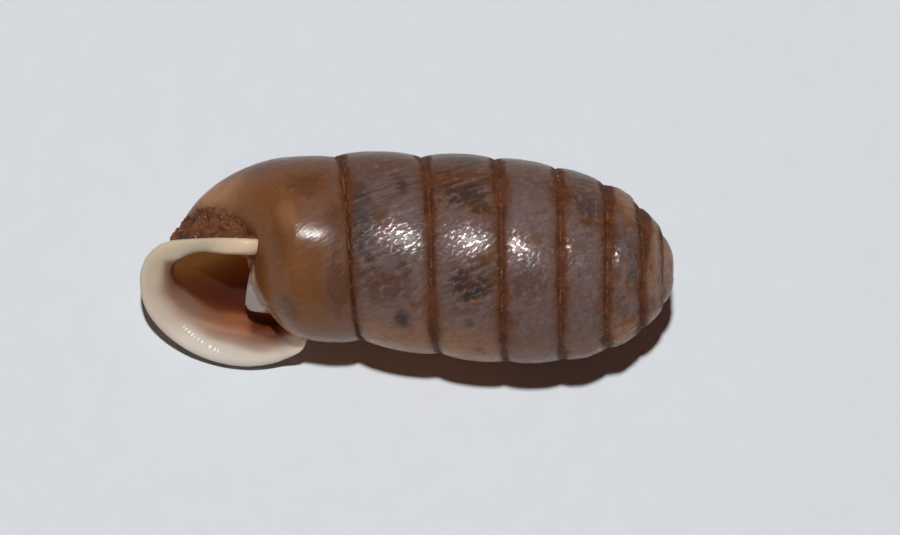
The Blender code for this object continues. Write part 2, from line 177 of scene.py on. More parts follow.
def atMost(value, high):
    return value.sum("MINIMUM", high) if isinstance(value, Worth) else np.minimum(value, high)


def root(value):
    return value.sum("SQRT") if isinstance(value, Worth) else np.sqrt(value)


def exponent(value):
    return value.sum("EXPONENT") if isinstance(value, Worth) else np.exp(value)


def cosine(value):
    return value.sum("COSINE") if isinstance(value, Worth) else np.cos(value)


def sine(value):
    return value.sum("SINE") if isinstance(value, Worth) else np.sin(value)


def smoothStep(value):
    share = atMost(atLeast(value, 0.0), 1.0)
    return share * share * (3.0 - 2.0 * share)


# Shape of the coil

def freeAlong(turn, size):
    return atLeast(turn, 0.0) ** size["suturePower"] * size["sutureScale"]


def sutureAlong(turn, size):
    climb = atLeast((turn - size["climbStart"]) / (size["turns"] - size["climbStart"]), 0.0)
    return freeAlong(turn, size) - climb * climb * size["climb"]


def sutureOut(turn, size):
    along = freeAlong(turn, size)
    dome = 1.0 - atLeast(1.0 - along / size["domeLength"], 0.0) ** size["domePower"]
    pointed = 1.0 - exponent(-along / size["tipLength"]) * size["tipNarrowing"]
    spread = smoothStep((turn - size["climbStart"]) / (size["turns"] - size["climbStart"])) * size["climbSpread"]
    taper = atLeast(along - size["taperStart"], 0.0) * size["taper"]
    return root(dome) * pointed * size["sutureRadius"] - taper + spread


def coilSide(turn, share, size):
    # side of a whorl from its suture to the next one, as (along, out)
    topAlong, topOut = sutureAlong(turn, size), sutureOut(turn, size)
    lowAlong, lowOut = sutureAlong(turn + 1.0, size), sutureOut(turn + 1.0, size)
    chordAlong, chordOut = lowAlong - topAlong, lowOut - topOut
    rounder = smoothStep((4.5 - turn) / 2.0) * size["tipBulge"] + 1.0
    swell = atLeast(share * (1.0 - share) * 4.0, 0.0) ** size["creasePower"] * size["bulge"] * rounder
    along = topAlong + chordAlong * share - chordOut * swell
    out = topOut + chordOut * share + chordAlong * swell
    return along, out


def angleAt(turn, size):
    return (turn - size["turns"]) * (2.0 * math.pi) + size["mouthAngle"]


def inSpace(along, out, turn):
    # sections to points of the shell's own space, the tip towards +X, in millimetres
    angle = angleAt(turn, coil)
    return np.stack([-along, -out * np.cos(angle), out * np.sin(angle)], axis=-1)


def lyingMatrix():
    turned = Matrix.Rotation(lying["pitch"], 4, "Y") @ Matrix.Rotation(-lying["roll"], 4, "X")
    return Matrix.Translation(Vector(lying["shift"]) * mm) @ turned


# Last whorl

def atStations(name, turn):
    places, values = np.array(lastWhorl["stations"]), np.array(lastWhorl[name])
    low = np.maximum(np.arange(len(places)) - 1, 0)
    high = np.minimum(np.arange(len(places)) + 1, len(places) - 1)
    slopes = (values[high] - values[low]) / (places[high] - places[low])
    turn = np.clip(turn, places[0], places[-1])
    index = np.clip(np.searchsorted(places, turn, side="right") - 1, 0, len(places) - 2)
    span = places[index + 1] - places[index]
    ends = (values[index], values[index] + slopes[index] * span / 3.0)
    ends += (values[index + 1] - slopes[index + 1] * span / 3.0, values[index + 1])
    return bezier(ends, (turn - places[index]) / span)


def bezier(points, share):
    back = 1.0 - share
    weights = (back ** 3, 3 * back * back * share, 3 * back * share * share, share ** 3)
    return sum(weight * point for weight, point in zip(weights, points))


def flankPoint(turn):
    covered = turn <= coil["turns"] - 1.0
    along = np.where(covered, sutureAlong(turn + 1.0, coil), atStations("flankAlong", turn))
    out = np.where(covered, sutureOut(turn + 1.0, coil), atStations("flankOut", turn))
    return along, out


def crestPoint(turn):
    covered = turn <= coil["turns"] - 1.0
    reach = lastWhorl["crestDrop"] * (freeAlong(turn + 1.0, coil) - freeAlong(turn, coil))
    along = np.where(covered, sutureAlong(turn + 1.0, coil) + reach, atStations("crestAlong", turn))
    out = np.where(covered, lastWhorl["crestShare"] * sutureOut(turn + 1.0, coil), atStations("crestOut", turn))
    return along, out


def pitPoint(turn):
    crestAlong, crestOut = crestPoint(turn)
    lastAlong, lastOut = crestPoint(np.array(coil["turns"] - 1.0))
    share = crestOut / lastOut
    covered = turn <= coil["turns"] - 1.0
    along = np.where(covered, crestAlong - (lastAlong - lastWhorl["pitAlong"]) * share, lastWhorl["pitAlong"])
    return along, np.where(covered, lastWhorl["pitOut"] * share, lastWhorl["pitOut"])


def sidePoint(turn, share):
    topAlong, topOut = sutureAlong(turn, coil), sutureOut(turn, coil)
    lowAlong, lowOut = flankPoint(turn)
    chordAlong, chordOut = lowAlong - topAlong, lowOut - topOut
    free = smoothStep((turn - coil["turns"] + 1.0) / lastWhorl["freeBlend"])
    power = coil["creasePower"]
    endPower = power + (1.0 - power) * free
    peak = power / (power + endPower)
    height = peak ** power * (1.0 - peak) ** endPower
    swell = share ** power * (1.0 - share) ** endPower / height
    bulge = np.where(turn <= coil["turns"] - 1.0, coil["bulge"], atStations("bulge", turn))
    along = topAlong + chordAlong * share - chordOut * bulge * swell
    return along, topOut + chordOut * share + chordAlong * bulge * swell


def basePoint(turn, share):
    flankAlong, flankOut = flankPoint(turn)
    crestAlong, crestOut = crestPoint(turn)
    slope = (flankOut - sutureOut(turn, coil)) / (flankAlong - sutureAlong(turn, coil)) - lastWhorl["flankTurnIn"]
    reach = atStations("shoulder", turn) * (crestAlong - flankAlong)
    drop = atStations("crestHandle", turn) * (flankOut - crestOut)
    along = bezier((flankAlong, flankAlong + reach, crestAlong, crestAlong), share)
    return along, bezier((flankOut, flankOut + slope * reach, crestOut + drop, crestOut), share)


def pitWallPoint(turn, share):
    crestAlong, crestOut = crestPoint(turn)
    pitAlong, pitOut = pitPoint(turn)
    edge, top, flare = lastWhorl["pitHandles"]
    along = bezier((crestAlong, crestAlong, pitAlong + top * (crestAlong - pitAlong), pitAlong), share)
    return along, bezier((crestOut, pitOut + edge * (crestOut - pitOut), pitOut + flare, pitOut), share)


def sectionPoint(turn, place):
    # place runs 0 to 1 down the side, 1 to 2 round the base and 2 to 3 up the wall of the pit
    side = sidePoint(turn, np.clip(place, 0.0, 1.0))
    base = basePoint(turn, np.clip(place - 1.0, 0.0, 1.0))
    pit = pitWallPoint(turn, np.clip(place - 2.0, 0.0, 1.0))
    along = np.where(place <= 1.0, side[0], np.where(place <= 2.0, base[0], pit[0]))
    out = np.where(place <= 1.0, side[1], np.where(place <= 2.0, base[1], pit[1]))
    return along, out


def sectionPlaces():
    side = np.linspace(0.0, 1.0, lastWhorl["sideColumns"] + 1)
    side = side * 0.4 + 0.6 * (1.0 - np.cos(math.pi * side)) / 2.0  # closer together at both ends
    base = 1.0 + np.arange(1, lastWhorl["baseColumns"] + 1) / lastWhorl["baseColumns"]
    pit = 2.0 + np.arange(1, lastWhorl["pitColumns"] + 1) / lastWhorl["pitColumns"]
    return np.concatenate([side, base, pit])


def linePoints(function, turn, count=41):
    return np.stack(function(np.full(count, turn), np.linspace(0.0, 1.0, count)), axis=-1)


def distanceTo(points, line):
    starts, runs = line[:-1], line[1:] - line[:-1]
    lengths = np.maximum((runs * runs).sum(axis=1), 1e-12)
    shares = np.clip(((points[:, None] - starts[None]) * runs[None]).sum(axis=2) / lengths, 0.0, 1.0)
    nearest = starts[None] + runs[None] * shares[:, :, None]
    return np.sqrt(((points[:, None] - nearest) ** 2).sum(axis=2)).min(axis=1)


def hollowSection(turn, targets):
    # from a point in the hollow towards each target until the wall's thickness is met
    roofHalf = hollow["septumHalf"] * smoothStep((coil["turns"] - turn) / hollow["callus"])
    middles = [np.stack(function(np.array(at), *rest)) for at in (turn - 1.0, turn)
               for function, rest in ((basePoint, (hollow["aim"],)), (crestPoint, ()))]
    middle, inner = (middles[0] + middles[2]) / 2.0, (middles[1] + middles[3]) / 2.0
    centre = middle + (inner - middle) * hollow["lean"]
    outer = linePoints(sidePoint, turn)
    floor = np.vstack([linePoints(basePoint, turn), linePoints(pitWallPoint, turn)])
    roof = np.vstack([linePoints(basePoint, turn - 1.0), linePoints(pitWallPoint, turn - 1.0)])
    shares = np.linspace(hollow["marchStart"], 1.0, hollow["marchSteps"])
    points = centre + (targets[:, None, :] - centre) * shares[None, :, None]
    flat = points.reshape(-1, 2)
    room = np.minimum(distanceTo(flat, outer), distanceTo(flat, floor)) - hollow["wall"]
    room = np.minimum(room, distanceTo(flat, roof) - roofHalf - 1e-4)
    room = np.minimum(room, flat[:, 1] - hollow["pillar"]).reshape(points.shape[:2])
    blocked = room < 0.0
    last = np.where(blocked.any(axis=1), np.maximum(blocked.argmax(axis=1), 1), len(shares) - 1)
    rows = np.arange(len(targets))
    low, high = room[rows, last - 1], room[rows, last]
    part = np.where(high >= 0.0, 1.0, np.clip(low / np.maximum(low - high, 1e-9), 0.0, 1.0))
    return points[rows, last - 1] + (points[rows, last] - points[rows, last - 1]) * part[:, None]


def smoothCurve(points, count):
    # count evenly stepped points on a smooth curve through the given ones, along the first axis
    points = np.asarray(points, float)
    place = np.linspace(0.0, len(points) - 1.0, count)
    index = np.minimum(place.astype(int), len(points) - 2)
    part = (place - index).reshape((-1,) + (1,) * (points.ndim - 1))
    start, end = points[index], points[index + 1]
    before, after = points[np.maximum(index - 1, 0)], points[np.minimum(index + 2, len(points) - 1)]
    return bezier((start, start + (end - before) / 6.0, end - (after - start) / 6.0, end), part)


def alongLine(line, shares):
    steps = np.sqrt((np.diff(line, axis=0) ** 2).sum(axis=1))
    reached = np.concatenate(([0.0], np.cumsum(steps)))
    return np.stack([np.interp(np.asarray(shares) * reached[-1], reached, line[:, axis]) for axis in (0, 1)], axis=-1)


class Sheet:
    # collects points with their marks, and the faces between rows of them
    def __init__(self):
        self.points, self.marks, self.faces, self.count = [], [], [], 0

    def row(self, points, turn, place, pale=0.0, depth=0.0, skin=0.0):
        count = len(points)
        self.points.append(np.asarray(points, float))
        columns = [np.broadcast_to(np.asarray(mark, float), (count,)) for mark in (turn, place, pale, depth, skin)]
        self.marks.append(np.stack(columns, axis=-1))
        self.count += count
        return list(range(self.count - count, self.count))

    def strip(self, first, second):
        for index in range(len(first) - 1):
            ring = [first[index], first[index + 1], second[index + 1], second[index]]
            kept = [ring[i] for i in range(4) if ring[i] != ring[i - 1]]
            if len(kept) > 2:
                self.faces.append(kept)

    def unevenStrip(self, first, second):
        one, two = 0, 0
        while one < len(first) - 1 or two < len(second) - 1:
            shareOne, shareTwo = (one + 1) / max(1, len(first) - 1), (two + 1) / max(1, len(second) - 1)
            if two == len(second) - 1 or (one < len(first) - 1 and shareOne <= shareTwo):
                self.faces.append([first[one], first[one + 1], second[two]])
                one += 1
            else:
                self.faces.append([first[one], second[two + 1], second[two]])
                two += 1

    def fan(self, ring, point, turn, place, pale=0.0, depth=0.0):
        hub = self.row([point], turn, place, pale, depth)[0]
        for index in range(len(ring)):
            self.faces.append([ring[index], ring[(index + 1) % len(ring)], hub])

    def mesh(self, name):
        points = np.concatenate(self.points) * mm
        marks = np.concatenate(self.marks)
        mesh = bpy.data.meshes.new(name)
        mesh.from_pydata(points.tolist(), [], self.faces)
        mesh.transform(lyingMatrix())
        corners = np.zeros(len(mesh.loops), np.int32)
        mesh.loops.foreach_get("vertex_index", corners)
        layer = mesh.uv_layers.new(name="growth")
        layer.uv.foreach_set("vector", marks[corners, :2].astype(np.float32).ravel())
        for column, mark in ((2, "pale"), (3, "depth"), (4, "skin")):
            made = mesh.attributes.new(mark, "FLOAT", "POINT")
            made.data.foreach_set("value", marks[:, column].astype(np.float32))
        work = bmesh.new()
        work.from_mesh(mesh)
        bmesh.ops.recalc_face_normals(work, faces=work.faces)
        work.to_mesh(mesh)
        work.free()
        mesh.shade_smooth()
        return mesh


def lastWhorlMesh():
    sheet = Sheet()
    places = sectionPlaces()
    turns = np.linspace(coil["turns"] - 1.0, coil["turns"], lastWhorl["stepsPerTurn"] + 1)
    flank = lastWhorl["sideColumns"]
    rows, pit = [], []
    for turn in turns:
        along, out = sectionPoint(np.full(len(places), turn), places)
        skin = smoothStep(np.minimum(places, 2.0 - places) / 0.10) * smoothStep((coil["turns"] - turn) / 0.03)
        count = len(places) if turn < coil["turns"] else len(places) - 1
        points = inSpace(along, out, np.full(len(places), turn))
        row = sheet.row(points[:count], turn, places[:count], skin=np.asarray(skin)[:count])
        pit.append(row[-1]) if count == len(places) else row.append(pit[0])
        rows.append(row)
    for first, second in zip(rows[:-1], rows[1:]):
        sheet.strip(first, second)
    sheet.fan(pit[::-1], (-lastWhorl["pitAlong"], 0.0, 0.0), coil["turns"] - 0.5, 3.0)
    # roof of the last whorl, under the spire
    lid = rows[0][:flank + 1] + [row[0] for row in rows[::-1]][1:-1]
    sheet.fan(lid, (-4.93, 0.0, 0.0), coil["turns"] - 1.0, 0.0)
    # lip and hollow
    last = len(places) - 1
    lips = np.arange(1, last)
    wall = np.arange(flank + lastWhorl["baseColumns"] + 2, flank + 1, -1)
    found = hollowRows(sheet, rows[0], places, lips, wall)
    rings = lipRings(sheet, rows[-1], places, lips, found[0][:len(lips)])
    closeMouth(sheet, rows, rings, found[0], lips, wall, flank)
    for first, second in zip(found[:-1], found[1:]):
        join = sheet.strip if len(first) == len(second) else sheet.unevenStrip
        join(first + first[:1], second + second[:1])
    softenMouth(sheet, rings, found, len(lips))
    every = np.concatenate(sheet.points)
    sheet.fan(found[-1], every[found[-1]].mean(axis=0), hollow["end"], 1.5, 1.0, 1.0)
    return sheet.mesh("lastWhorl")


def hollowRows(sheet, behind, places, lips, wall):
    found, turn = [], coil["turns"]
    while turn > hollow["end"] - 1e-6:
        own = places[lips].copy()
        own[0] = hollow["first"]
        atMouth = turn == coil["turns"]
        near = coil["turns"] - turn <= hollow["fineDepth"]
        front = np.stack(sectionPoint(np.full(len(own), turn), own), axis=-1)
        back = np.stack(sectionPoint(np.full(len(wall), turn - 1.0), places[wall]), axis=-1)
        targets, marks = (front, own) if atMouth else (np.vstack([front, back]), np.concatenate([own, places[wall]]))
        if not near:
            targets, marks = targets[::3], marks[::3]
        section = hollowSection(turn, targets)
        points = inSpace(section[:, 0], section[:, 1], np.full(len(section), turn))
        row = sheet.row(points, turn, marks, pale=1.0, depth=coil["turns"] - turn)
        if atMouth:
            row = row + [behind[index] for index in wall]
        found.append(row)
        turn -= 0.01 if near else 0.02
    return found


def lipRings(sheet, rim, places, lips, mouth):
    outer = np.stack(sectionPoint(np.full(len(lips), coil["turns"]), places[lips]), axis=-1)
    outline = smoothCurve(lip["outline"][::-1], 400)
    steps = np.sqrt((np.diff(outer, axis=0) ** 2).sum(axis=1))
    edge = alongLine(outline, np.concatenate(([0.0], np.cumsum(steps))) / steps.sum())
    every = np.concatenate(sheet.points)
    inner3 = every[mouth]
    angle = angleAt(coil["turns"], coil)
    inner = np.stack([-inner3[:, 0], -inner3[:, 1] * math.cos(angle) + inner3[:, 2] * math.sin(angle)], axis=-1)
    start = inner.copy()
    start[-1] = lip["end"]
    reach = np.sqrt(np.minimum(1.0, outer[:, 1] / lip["fullReach"]))[:, None]
    ahead = np.array([0.0, math.sin(angle), math.cos(angle)])
    shares = [smoothStep((lip[side + "From"] - edge[:, 0]) / (lip[side + "From"] - lip[side + "To"]))
              for side in ("inner", "outer")]
    sink = lip["outerSink"] * shares[1] * smoothStep((2.1 - places[lips]) / 0.6)
    rise = lip["outerRise"] * shares[1] + lip["endRise"] * smoothStep(1.0 - places[lips] / lip["endOver"])
    rise = np.where(places[lips] > 2.0, lip["innerRise"] * shares[0], rise)
    knots = [inSpace(outer[:, 0], outer[:, 1], np.full(len(outer), coil["turns"]))]
    onInner = smoothStep((places[lips] - 1.95) / 0.25)
    for (share, inside, forward, lift), innerLift in zip(lip["section"], lip["innerLift"]):
        lift = lift + (innerLift - lift) * onInner
        begin = start if inside else outer
        flat = begin + (edge - begin) * share
        push = lip["forward"] * reach * forward + lip["thickness"] * lift[:, None]
        lifted = rise * (1.0 if inside else smoothStep(share + 0.35)) - sink * share ** 1.3
        risen = np.array([0.0, -1.0, 0.0]) * lifted[:, None]
        knots.append(inSpace(flat[:, 0], flat[:, 1], np.full(len(flat), coil["turns"])) + ahead * push + risen)
    knots.append(inner3)
    count = (len(knots) - 1) * lip["ringsBetween"] + 1
    curves = smoothCurve(np.array(knots), count)
    rings = []
    for index in range(1, count - 1):
        place = index / lip["ringsBetween"]
        pale = smoothStep(place / 1.2)
        depth = -lip["paleDepth"] * (1.0 - smoothStep((place - 4.6) / 7.2))
        depth = depth - (depth + lip["innerPale"]) * smoothStep((places[lips] - 2.20) / 0.25)
        rings.append(sheet.row(curves[index], coil["turns"], places[lips], pale=pale, depth=depth))
    return rings


def softenMouth(sheet, rings, found, count):
    # rounds the line where the lip passes into the wall of the mouth
    every = np.concatenate(sheet.points)
    columns = np.array(rings[-lip["softRings"]:] + [row[:count] for row in found[:lip["softRows"]]])
    path = every[columns]
    weight = np.sin(np.linspace(0.0, math.pi, len(path)))[1:-1, None, None]
    for step in range(lip["softSteps"]):
        path[1:-1] += ((path[:-2] + path[2:]) / 2.0 - path[1:-1]) * weight
    moved = path - every[columns]
    far = np.maximum(np.sqrt((moved * moved).sum(axis=2, keepdims=True)), 1e-9)
    every[columns] += moved * (lip["softMost"] * np.tanh(far / lip["softMost"]) / far)
    sheet.points = [every]


def closeMouth(sheet, rows, rings, mouth, lips, wall, flank):
    layers = [[rows[-1][index] for index in lips]] + rings + [mouth[:len(lips)]]
    for first, second in zip(layers[:-1], layers[1:]):
        sheet.strip(first, second)
    behind = rows[0]
    edge = (lip["rimRing"] + 1) * lip["ringsBetween"]
    for side, chain in ((-1, behind[:wall[0] - 1:-1]), (0, behind[flank:wall[-1] + 1])):
        column = [layer[side] for layer in layers]
        for index in range(edge):
            sheet.faces.append([chain[0], column[index], column[index + 1]])
        sheet.unevenStrip(column[edge:], chain)


# Growth lines: ridges across the whorls, irregular, leaning towards the tip

growthLines = {
    "Lines": 92.0, "Lean": 0.0150, "Height": 0.0045, "Waves": 0.007, "Grain": 0.002,
    "Rough turns": 3.9, "Knobs": 0.16,
}


def linePhase(bench, turn, place, lines, lean):
    # counts the growth lines; wider apart on the last whorls
    leaning = turn + turn * place * lean
    return leaning * lines * root(atLeast(turn, 0.05) / coil["turns"])


def newTree(name, inputs):
    tree = bpy.data.node_groups.new(name, "GeometryNodeTree")
    tree.interface.new_socket("Geometry", in_out="INPUT", socket_type="NodeSocketGeometry")
    sockets = {}
    for label, given in inputs.items():
        kind = {int: "NodeSocketInt", float: "NodeSocketFloat"}.get(type(given), "NodeSocketMaterial")
        made = tree.interface.new_socket(label, in_out="INPUT", socket_type=kind)
        if kind != "NodeSocketMaterial":
            made.default_value = given
        sockets[label] = made.identifier
    tree.interface.new_socket("Geometry", in_out="OUTPUT", socket_type="NodeSocketGeometry")
    source = tree.nodes.new("NodeGroupInput")
    bench = Bench(tree)
    return bench, {socket.name: Worth(bench, socket) for socket in source.outputs if socket.name}, sockets


def finishTree(bench, geometry, material):
    real = bench.add("GeometryNodeRealizeInstances", None, {"Geometry": geometry})
    painted = bench.add("GeometryNodeSetMaterial", None, {"Geometry": real, "Material": material})
    sink = bench.tree.nodes.new("NodeGroupOutput")
    bench.tree.links.new(painted.socket, sink.inputs[0])


def runTree(thing, bench, sockets, values):
    modifier = thing.modifiers.new("nodes", "NODES")
    modifier.node_group = bench.tree
    for label, given in values.items():
        modifier[sockets[label]] = given
    graph = bpy.context.evaluated_depsgraph_get()
    mesh = bpy.data.meshes.new_from_object(thing.evaluated_get(graph))
    thing.modifiers.clear()
    return mesh


def reliefOffset(bench, geometry, turn, place, room, given):
    # pushes the skin in and out along its normals
    phase = linePhase(bench, turn, place, given["Lines"], given["Lean"])
    fine = bench.noise(bench.combine(phase, place * 1.6, 2.0), 1.0, 2.0, 0.6)
    broad = bench.noise(bench.combine(phase * 0.14, place * 1.3, 7.0), 1.0, 1.0)
    grain = bench.noise(bench.combine(phase * 1.3, place * 34.0, 4.0), 1.0, 2.0)
    knobs = bench.noise(bench.combine(phase * 0.22, place * 2.6, 11.0), 1.0, 3.0, 0.6)
    rough = smoothStep((given["Rough turns"] - turn) / 1.6) * given["Knobs"]
    push = (fine - 0.5) * given["Height"] * 2.0 + (broad - 0.5) * given["Waves"] + (grain - 0.5) * given["Grain"]
    push = push + (knobs - 0.5) * rough
    normal = bench.add("GeometryNodeInputNormal")
    offset = bench.add("ShaderNodeVectorMath", {"operation": "SCALE"}, {0: normal, "Scale": push * room * mm})
    return bench.add("GeometryNodeSetPosition", None, {"Geometry": geometry, "Offset": offset})


def growthMark(bench):
    mark = bench.add("GeometryNodeInputNamedAttribute", {"data_type": "FLOAT_VECTOR"}, {"Name": "growth"})
    parts = bench.tree.nodes.new("ShaderNodeSeparateXYZ")
    bench.tree.links.new(mark.socket, parts.inputs[0])
    return Worth(bench, parts.outputs[0]), Worth(bench, parts.outputs[1])


def namedNumber(bench, name):
    return bench.add("GeometryNodeInputNamedAttribute", {"data_type": "FLOAT"}, {"Name": name})


def makeLastWhorl(material):
    print("last whorl")
    thing = newThing("lastWhorl", lastWhorlMesh())
    values = {**growthLines, "Material": material}
    bench, given, sockets = newTree("growthLinesOnWhorl", values)
    turn, place = growthMark(bench)
    shaped = reliefOffset(bench, given["Geometry"], turn, place, namedNumber(bench, "skin"), given)
    finishTree(bench, shaped, given["Material"])
    thing.data = runTree(thing, bench, sockets, values)
    return thing


# Spire: seven turns of one spiral skin, closed at the tip and underneath

spire = {"Spire turns": 7.0, "Steps per turn": 640, "Points across": 19}


def makeSpire(material):
    print("spire")
    thing = newThing("spire", bpy.data.meshes.new("spire"))
    values = {**spire, **coil, **growthLines, "Material": material}
    bench, given, sockets = newTree("spiralSkin", values)
    across, turns = given["Points across"], given["Spire turns"]
    grid = bench.add("GeometryNodeMeshGrid", None,
                     {"Size X": 1.0, "Size Y": 1.0, "Vertices X": turns * given["Steps per turn"] + 1.0,
                      "Vertices Y": across})
    place = bench.tree.nodes.new("GeometryNodeInputPosition")
    parts = bench.tree.nodes.new("ShaderNodeSeparateXYZ")
    bench.tree.links.new(place.outputs[0], parts.inputs[0])
    turn = (Worth(bench, parts.outputs[0]) + 0.5) * turns
    even = Worth(bench, parts.outputs[1]) + 0.5
    share = even * 0.4 + (1.0 - cosine(even * math.pi)) * 0.3  # closer together at both sutures
    marked = bench.add("GeometryNodeStoreNamedAttribute", {"data_type": "FLOAT2", "domain": "CORNER"},
                       {"Geometry": grid, "Name": "growth", "Value": bench.combine(turn, share, 0.0)})
    along, out = coilSide(turn, share, given)
    angle = angleAt(turn, given)
    spot = bench.combine(along * -mm, out * cosine(angle) * -mm, out * sine(angle) * mm)
    wound = bench.add("GeometryNodeSetPosition", None, {"Geometry": marked, "Position": spot})
    welded = bench.add("GeometryNodeMergeByDistance", None, {"Geometry": wound, "Distance": 2e-7})
    turn, share = growthMark(bench)
    room = smoothStep(share * (1.0 - share) * 9.0) * smoothStep(turn - 0.8)
    room = room * atLeast(smoothStep((turn - 0.2) * 0.45), 0.0)
    shaped = reliefOffset(bench, welded, turn, share, room, given)
    # both open rims are drawn to a point on the axis
    neighbours = bench.add("GeometryNodeInputMeshEdgeNeighbors")
    rim = bench.add("FunctionNodeCompare", {"data_type": "INT", "operation": "LESS_THAN"}, {2: neighbours, 3: 2})
    drawn = bench.tree.nodes.new("GeometryNodeExtrudeMesh")
    drawn.mode = "EDGES"
    bench.feed(drawn.inputs["Mesh"], shaped)
    bench.feed(drawn.inputs["Selection"], rim)
    bench.feed(drawn.inputs["Offset Scale"], 0.0)
    turn, share = growthMark(bench)
    atTip = bench.add("FunctionNodeCompare", {"data_type": "FLOAT", "operation": "LESS_THAN"}, {0: turn, 1: 3.0})
    hub = bench.add("GeometryNodeSwitch", {"input_type": "VECTOR"},
                    {"Switch": atTip, "False": (-4.90 * mm, 0.0, 0.0), "True": (-0.012 * mm, 0.0, 0.0)})
    pulled = bench.add("GeometryNodeSetPosition", None,
                       {"Geometry": Worth(bench, drawn.outputs["Mesh"]),
                        "Selection": Worth(bench, drawn.outputs["Top"]), "Position": hub})
    closed = bench.add("GeometryNodeMergeByDistance", None, {"Geometry": pulled, "Distance": 2e-7})
    finishTree(bench, closed, given["Material"])
    mesh = runTree(thing, bench, sockets, values)
    mesh.transform(lyingMatrix())
    work = bmesh.new()
    work.from_mesh(mesh)
    bmesh.ops.recalc_face_normals(work, faces=work.faces)
    open_ = sum(1 for edge in work.edges if len(edge.link_faces) != 2)
    print("  open edges", open_, "faces", len(work.faces))
    work.to_mesh(mesh)
    work.free()
    mesh.shade_smooth()
    thing.data = mesh
    return thing


# Tooth

tooth = {
    "height": 0.37, "thickness": 0.085, "start": -0.110, "turns": 0.310, "root": 0.06, "place": 0.52,
    "lean": math.radians(38.0), "rise": 0.33, "steps": 36, "power": 0.35,
}


def makeTooth(material):
    print("tooth")
    work = bmesh.new()
    rows = []
    half = tooth["thickness"] / 2.0
    # outline across the plate: (share of half thickness, share of height), round at the free edge
    outline = ((-1.6, None), (-1.15, 0.15), (-1.0, 0.5), (-0.9, 0.8), (-0.6, 0.95), (0.0, 1.0),
               (0.6, 0.95), (0.9, 0.8), (1.0, 0.5), (1.15, 0.15), (1.6, None))
    for step in range(tooth["steps"] + 1):
        share = step / tooth["steps"]
        turn = coil["turns"] - tooth["start"] - tooth["turns"] * share
        foot = np.stack(basePoint(np.array(turn - 1.0), tooth["place"]))
        ahead = np.stack(basePoint(np.array(turn - 1.0), tooth["place"] + 0.02)) - foot
        ahead /= np.linalg.norm(ahead)
        up = np.array([-ahead[1], ahead[0]])
        up = (-up if up[0] < 0.0 else up) * math.cos(tooth["lean"]) + ahead * math.sin(tooth["lean"])
        height = tooth["height"] * max(math.cos(math.pi * share / 2.0), 0.02) ** tooth["power"]
        height *= 0.05 + 0.95 * float(smoothStep(share / tooth["rise"])) ** 0.7
        thin = 1.0 - 0.35 * max(0.0, 1.0 - share / 0.12)
        ring = []
        for sideways, rise in outline:
            lift = -tooth["root"] if rise is None else height * rise
            flat = foot + ahead * half * sideways * thin + up * lift
            point = inSpace(flat[0], flat[1], turn)
            ring.append(work.verts.new(Vector(point) * mm))
        rows.append(ring)
    for first, second in zip(rows[:-1], rows[1:]):
        for index in range(len(first)):
            after = (index + 1) % len(first)
            work.faces.new((first[index], first[after], second[after], second[index]))
    work.faces.new(rows[0][::-1])
    work.faces.new(rows[-1])
    bmesh.ops.recalc_face_normals(work, faces=work.faces)
    work.transform(lyingMatrix())
    mesh = bpy.data.meshes.new("tooth")
    work.to_mesh(mesh)
    work.free()
    mesh.shade_smooth()
    mesh.materials.append(material)
    return newThing("tooth", mesh)


# Soil in the sutures and in the pit beside the mouth

sutureSoil = {
    "First turn": 1.1, "Bead steps": 1500, "Bead radius": 0.062, "Bead sides": 10, "Sunk": 0.057,
    "Lumps": 0.042, "Crumbs": 60.0, "Smallest": 0.008, "Largest": 0.026, "Seed": 4,
}

pitSoil = {"Lumps": 0.060, "Crumbs": 330.0, "Smallest": 0.012, "Largest": 0.038, "Seed": 9}

pitFill = {
    "steps": 90, "across": 26, "firstTurn": 7.80, "lastTurn": 7.27, "places": (2.02, 1.78), "run": 0.22, "up": 0.10,
    "thickness": 0.10,
    # back of the lip from the left end to the right, (along, back, up)
    "behindLip": ((7.58, 0.16, -0.17), (7.36, 0.04, -0.15), (7.13, -0.10, -0.13), (6.90, -0.28, -0.11),
                  (6.70, -0.48, -0.09), (6.45, -0.66, -0.07), (6.27, -0.76, -0.06)),
}


def randomWorth(bench, low, high, seed, kind="FLOAT"):
    first = 0 if kind == "FLOAT_VECTOR" else 2
    inputs = {first: low, first + 1: high, "Seed": seed}
    return bench.add("FunctionNodeRandomValue", {"data_type": kind}, inputs, 0 if kind == "FLOAT_VECTOR" else 1)


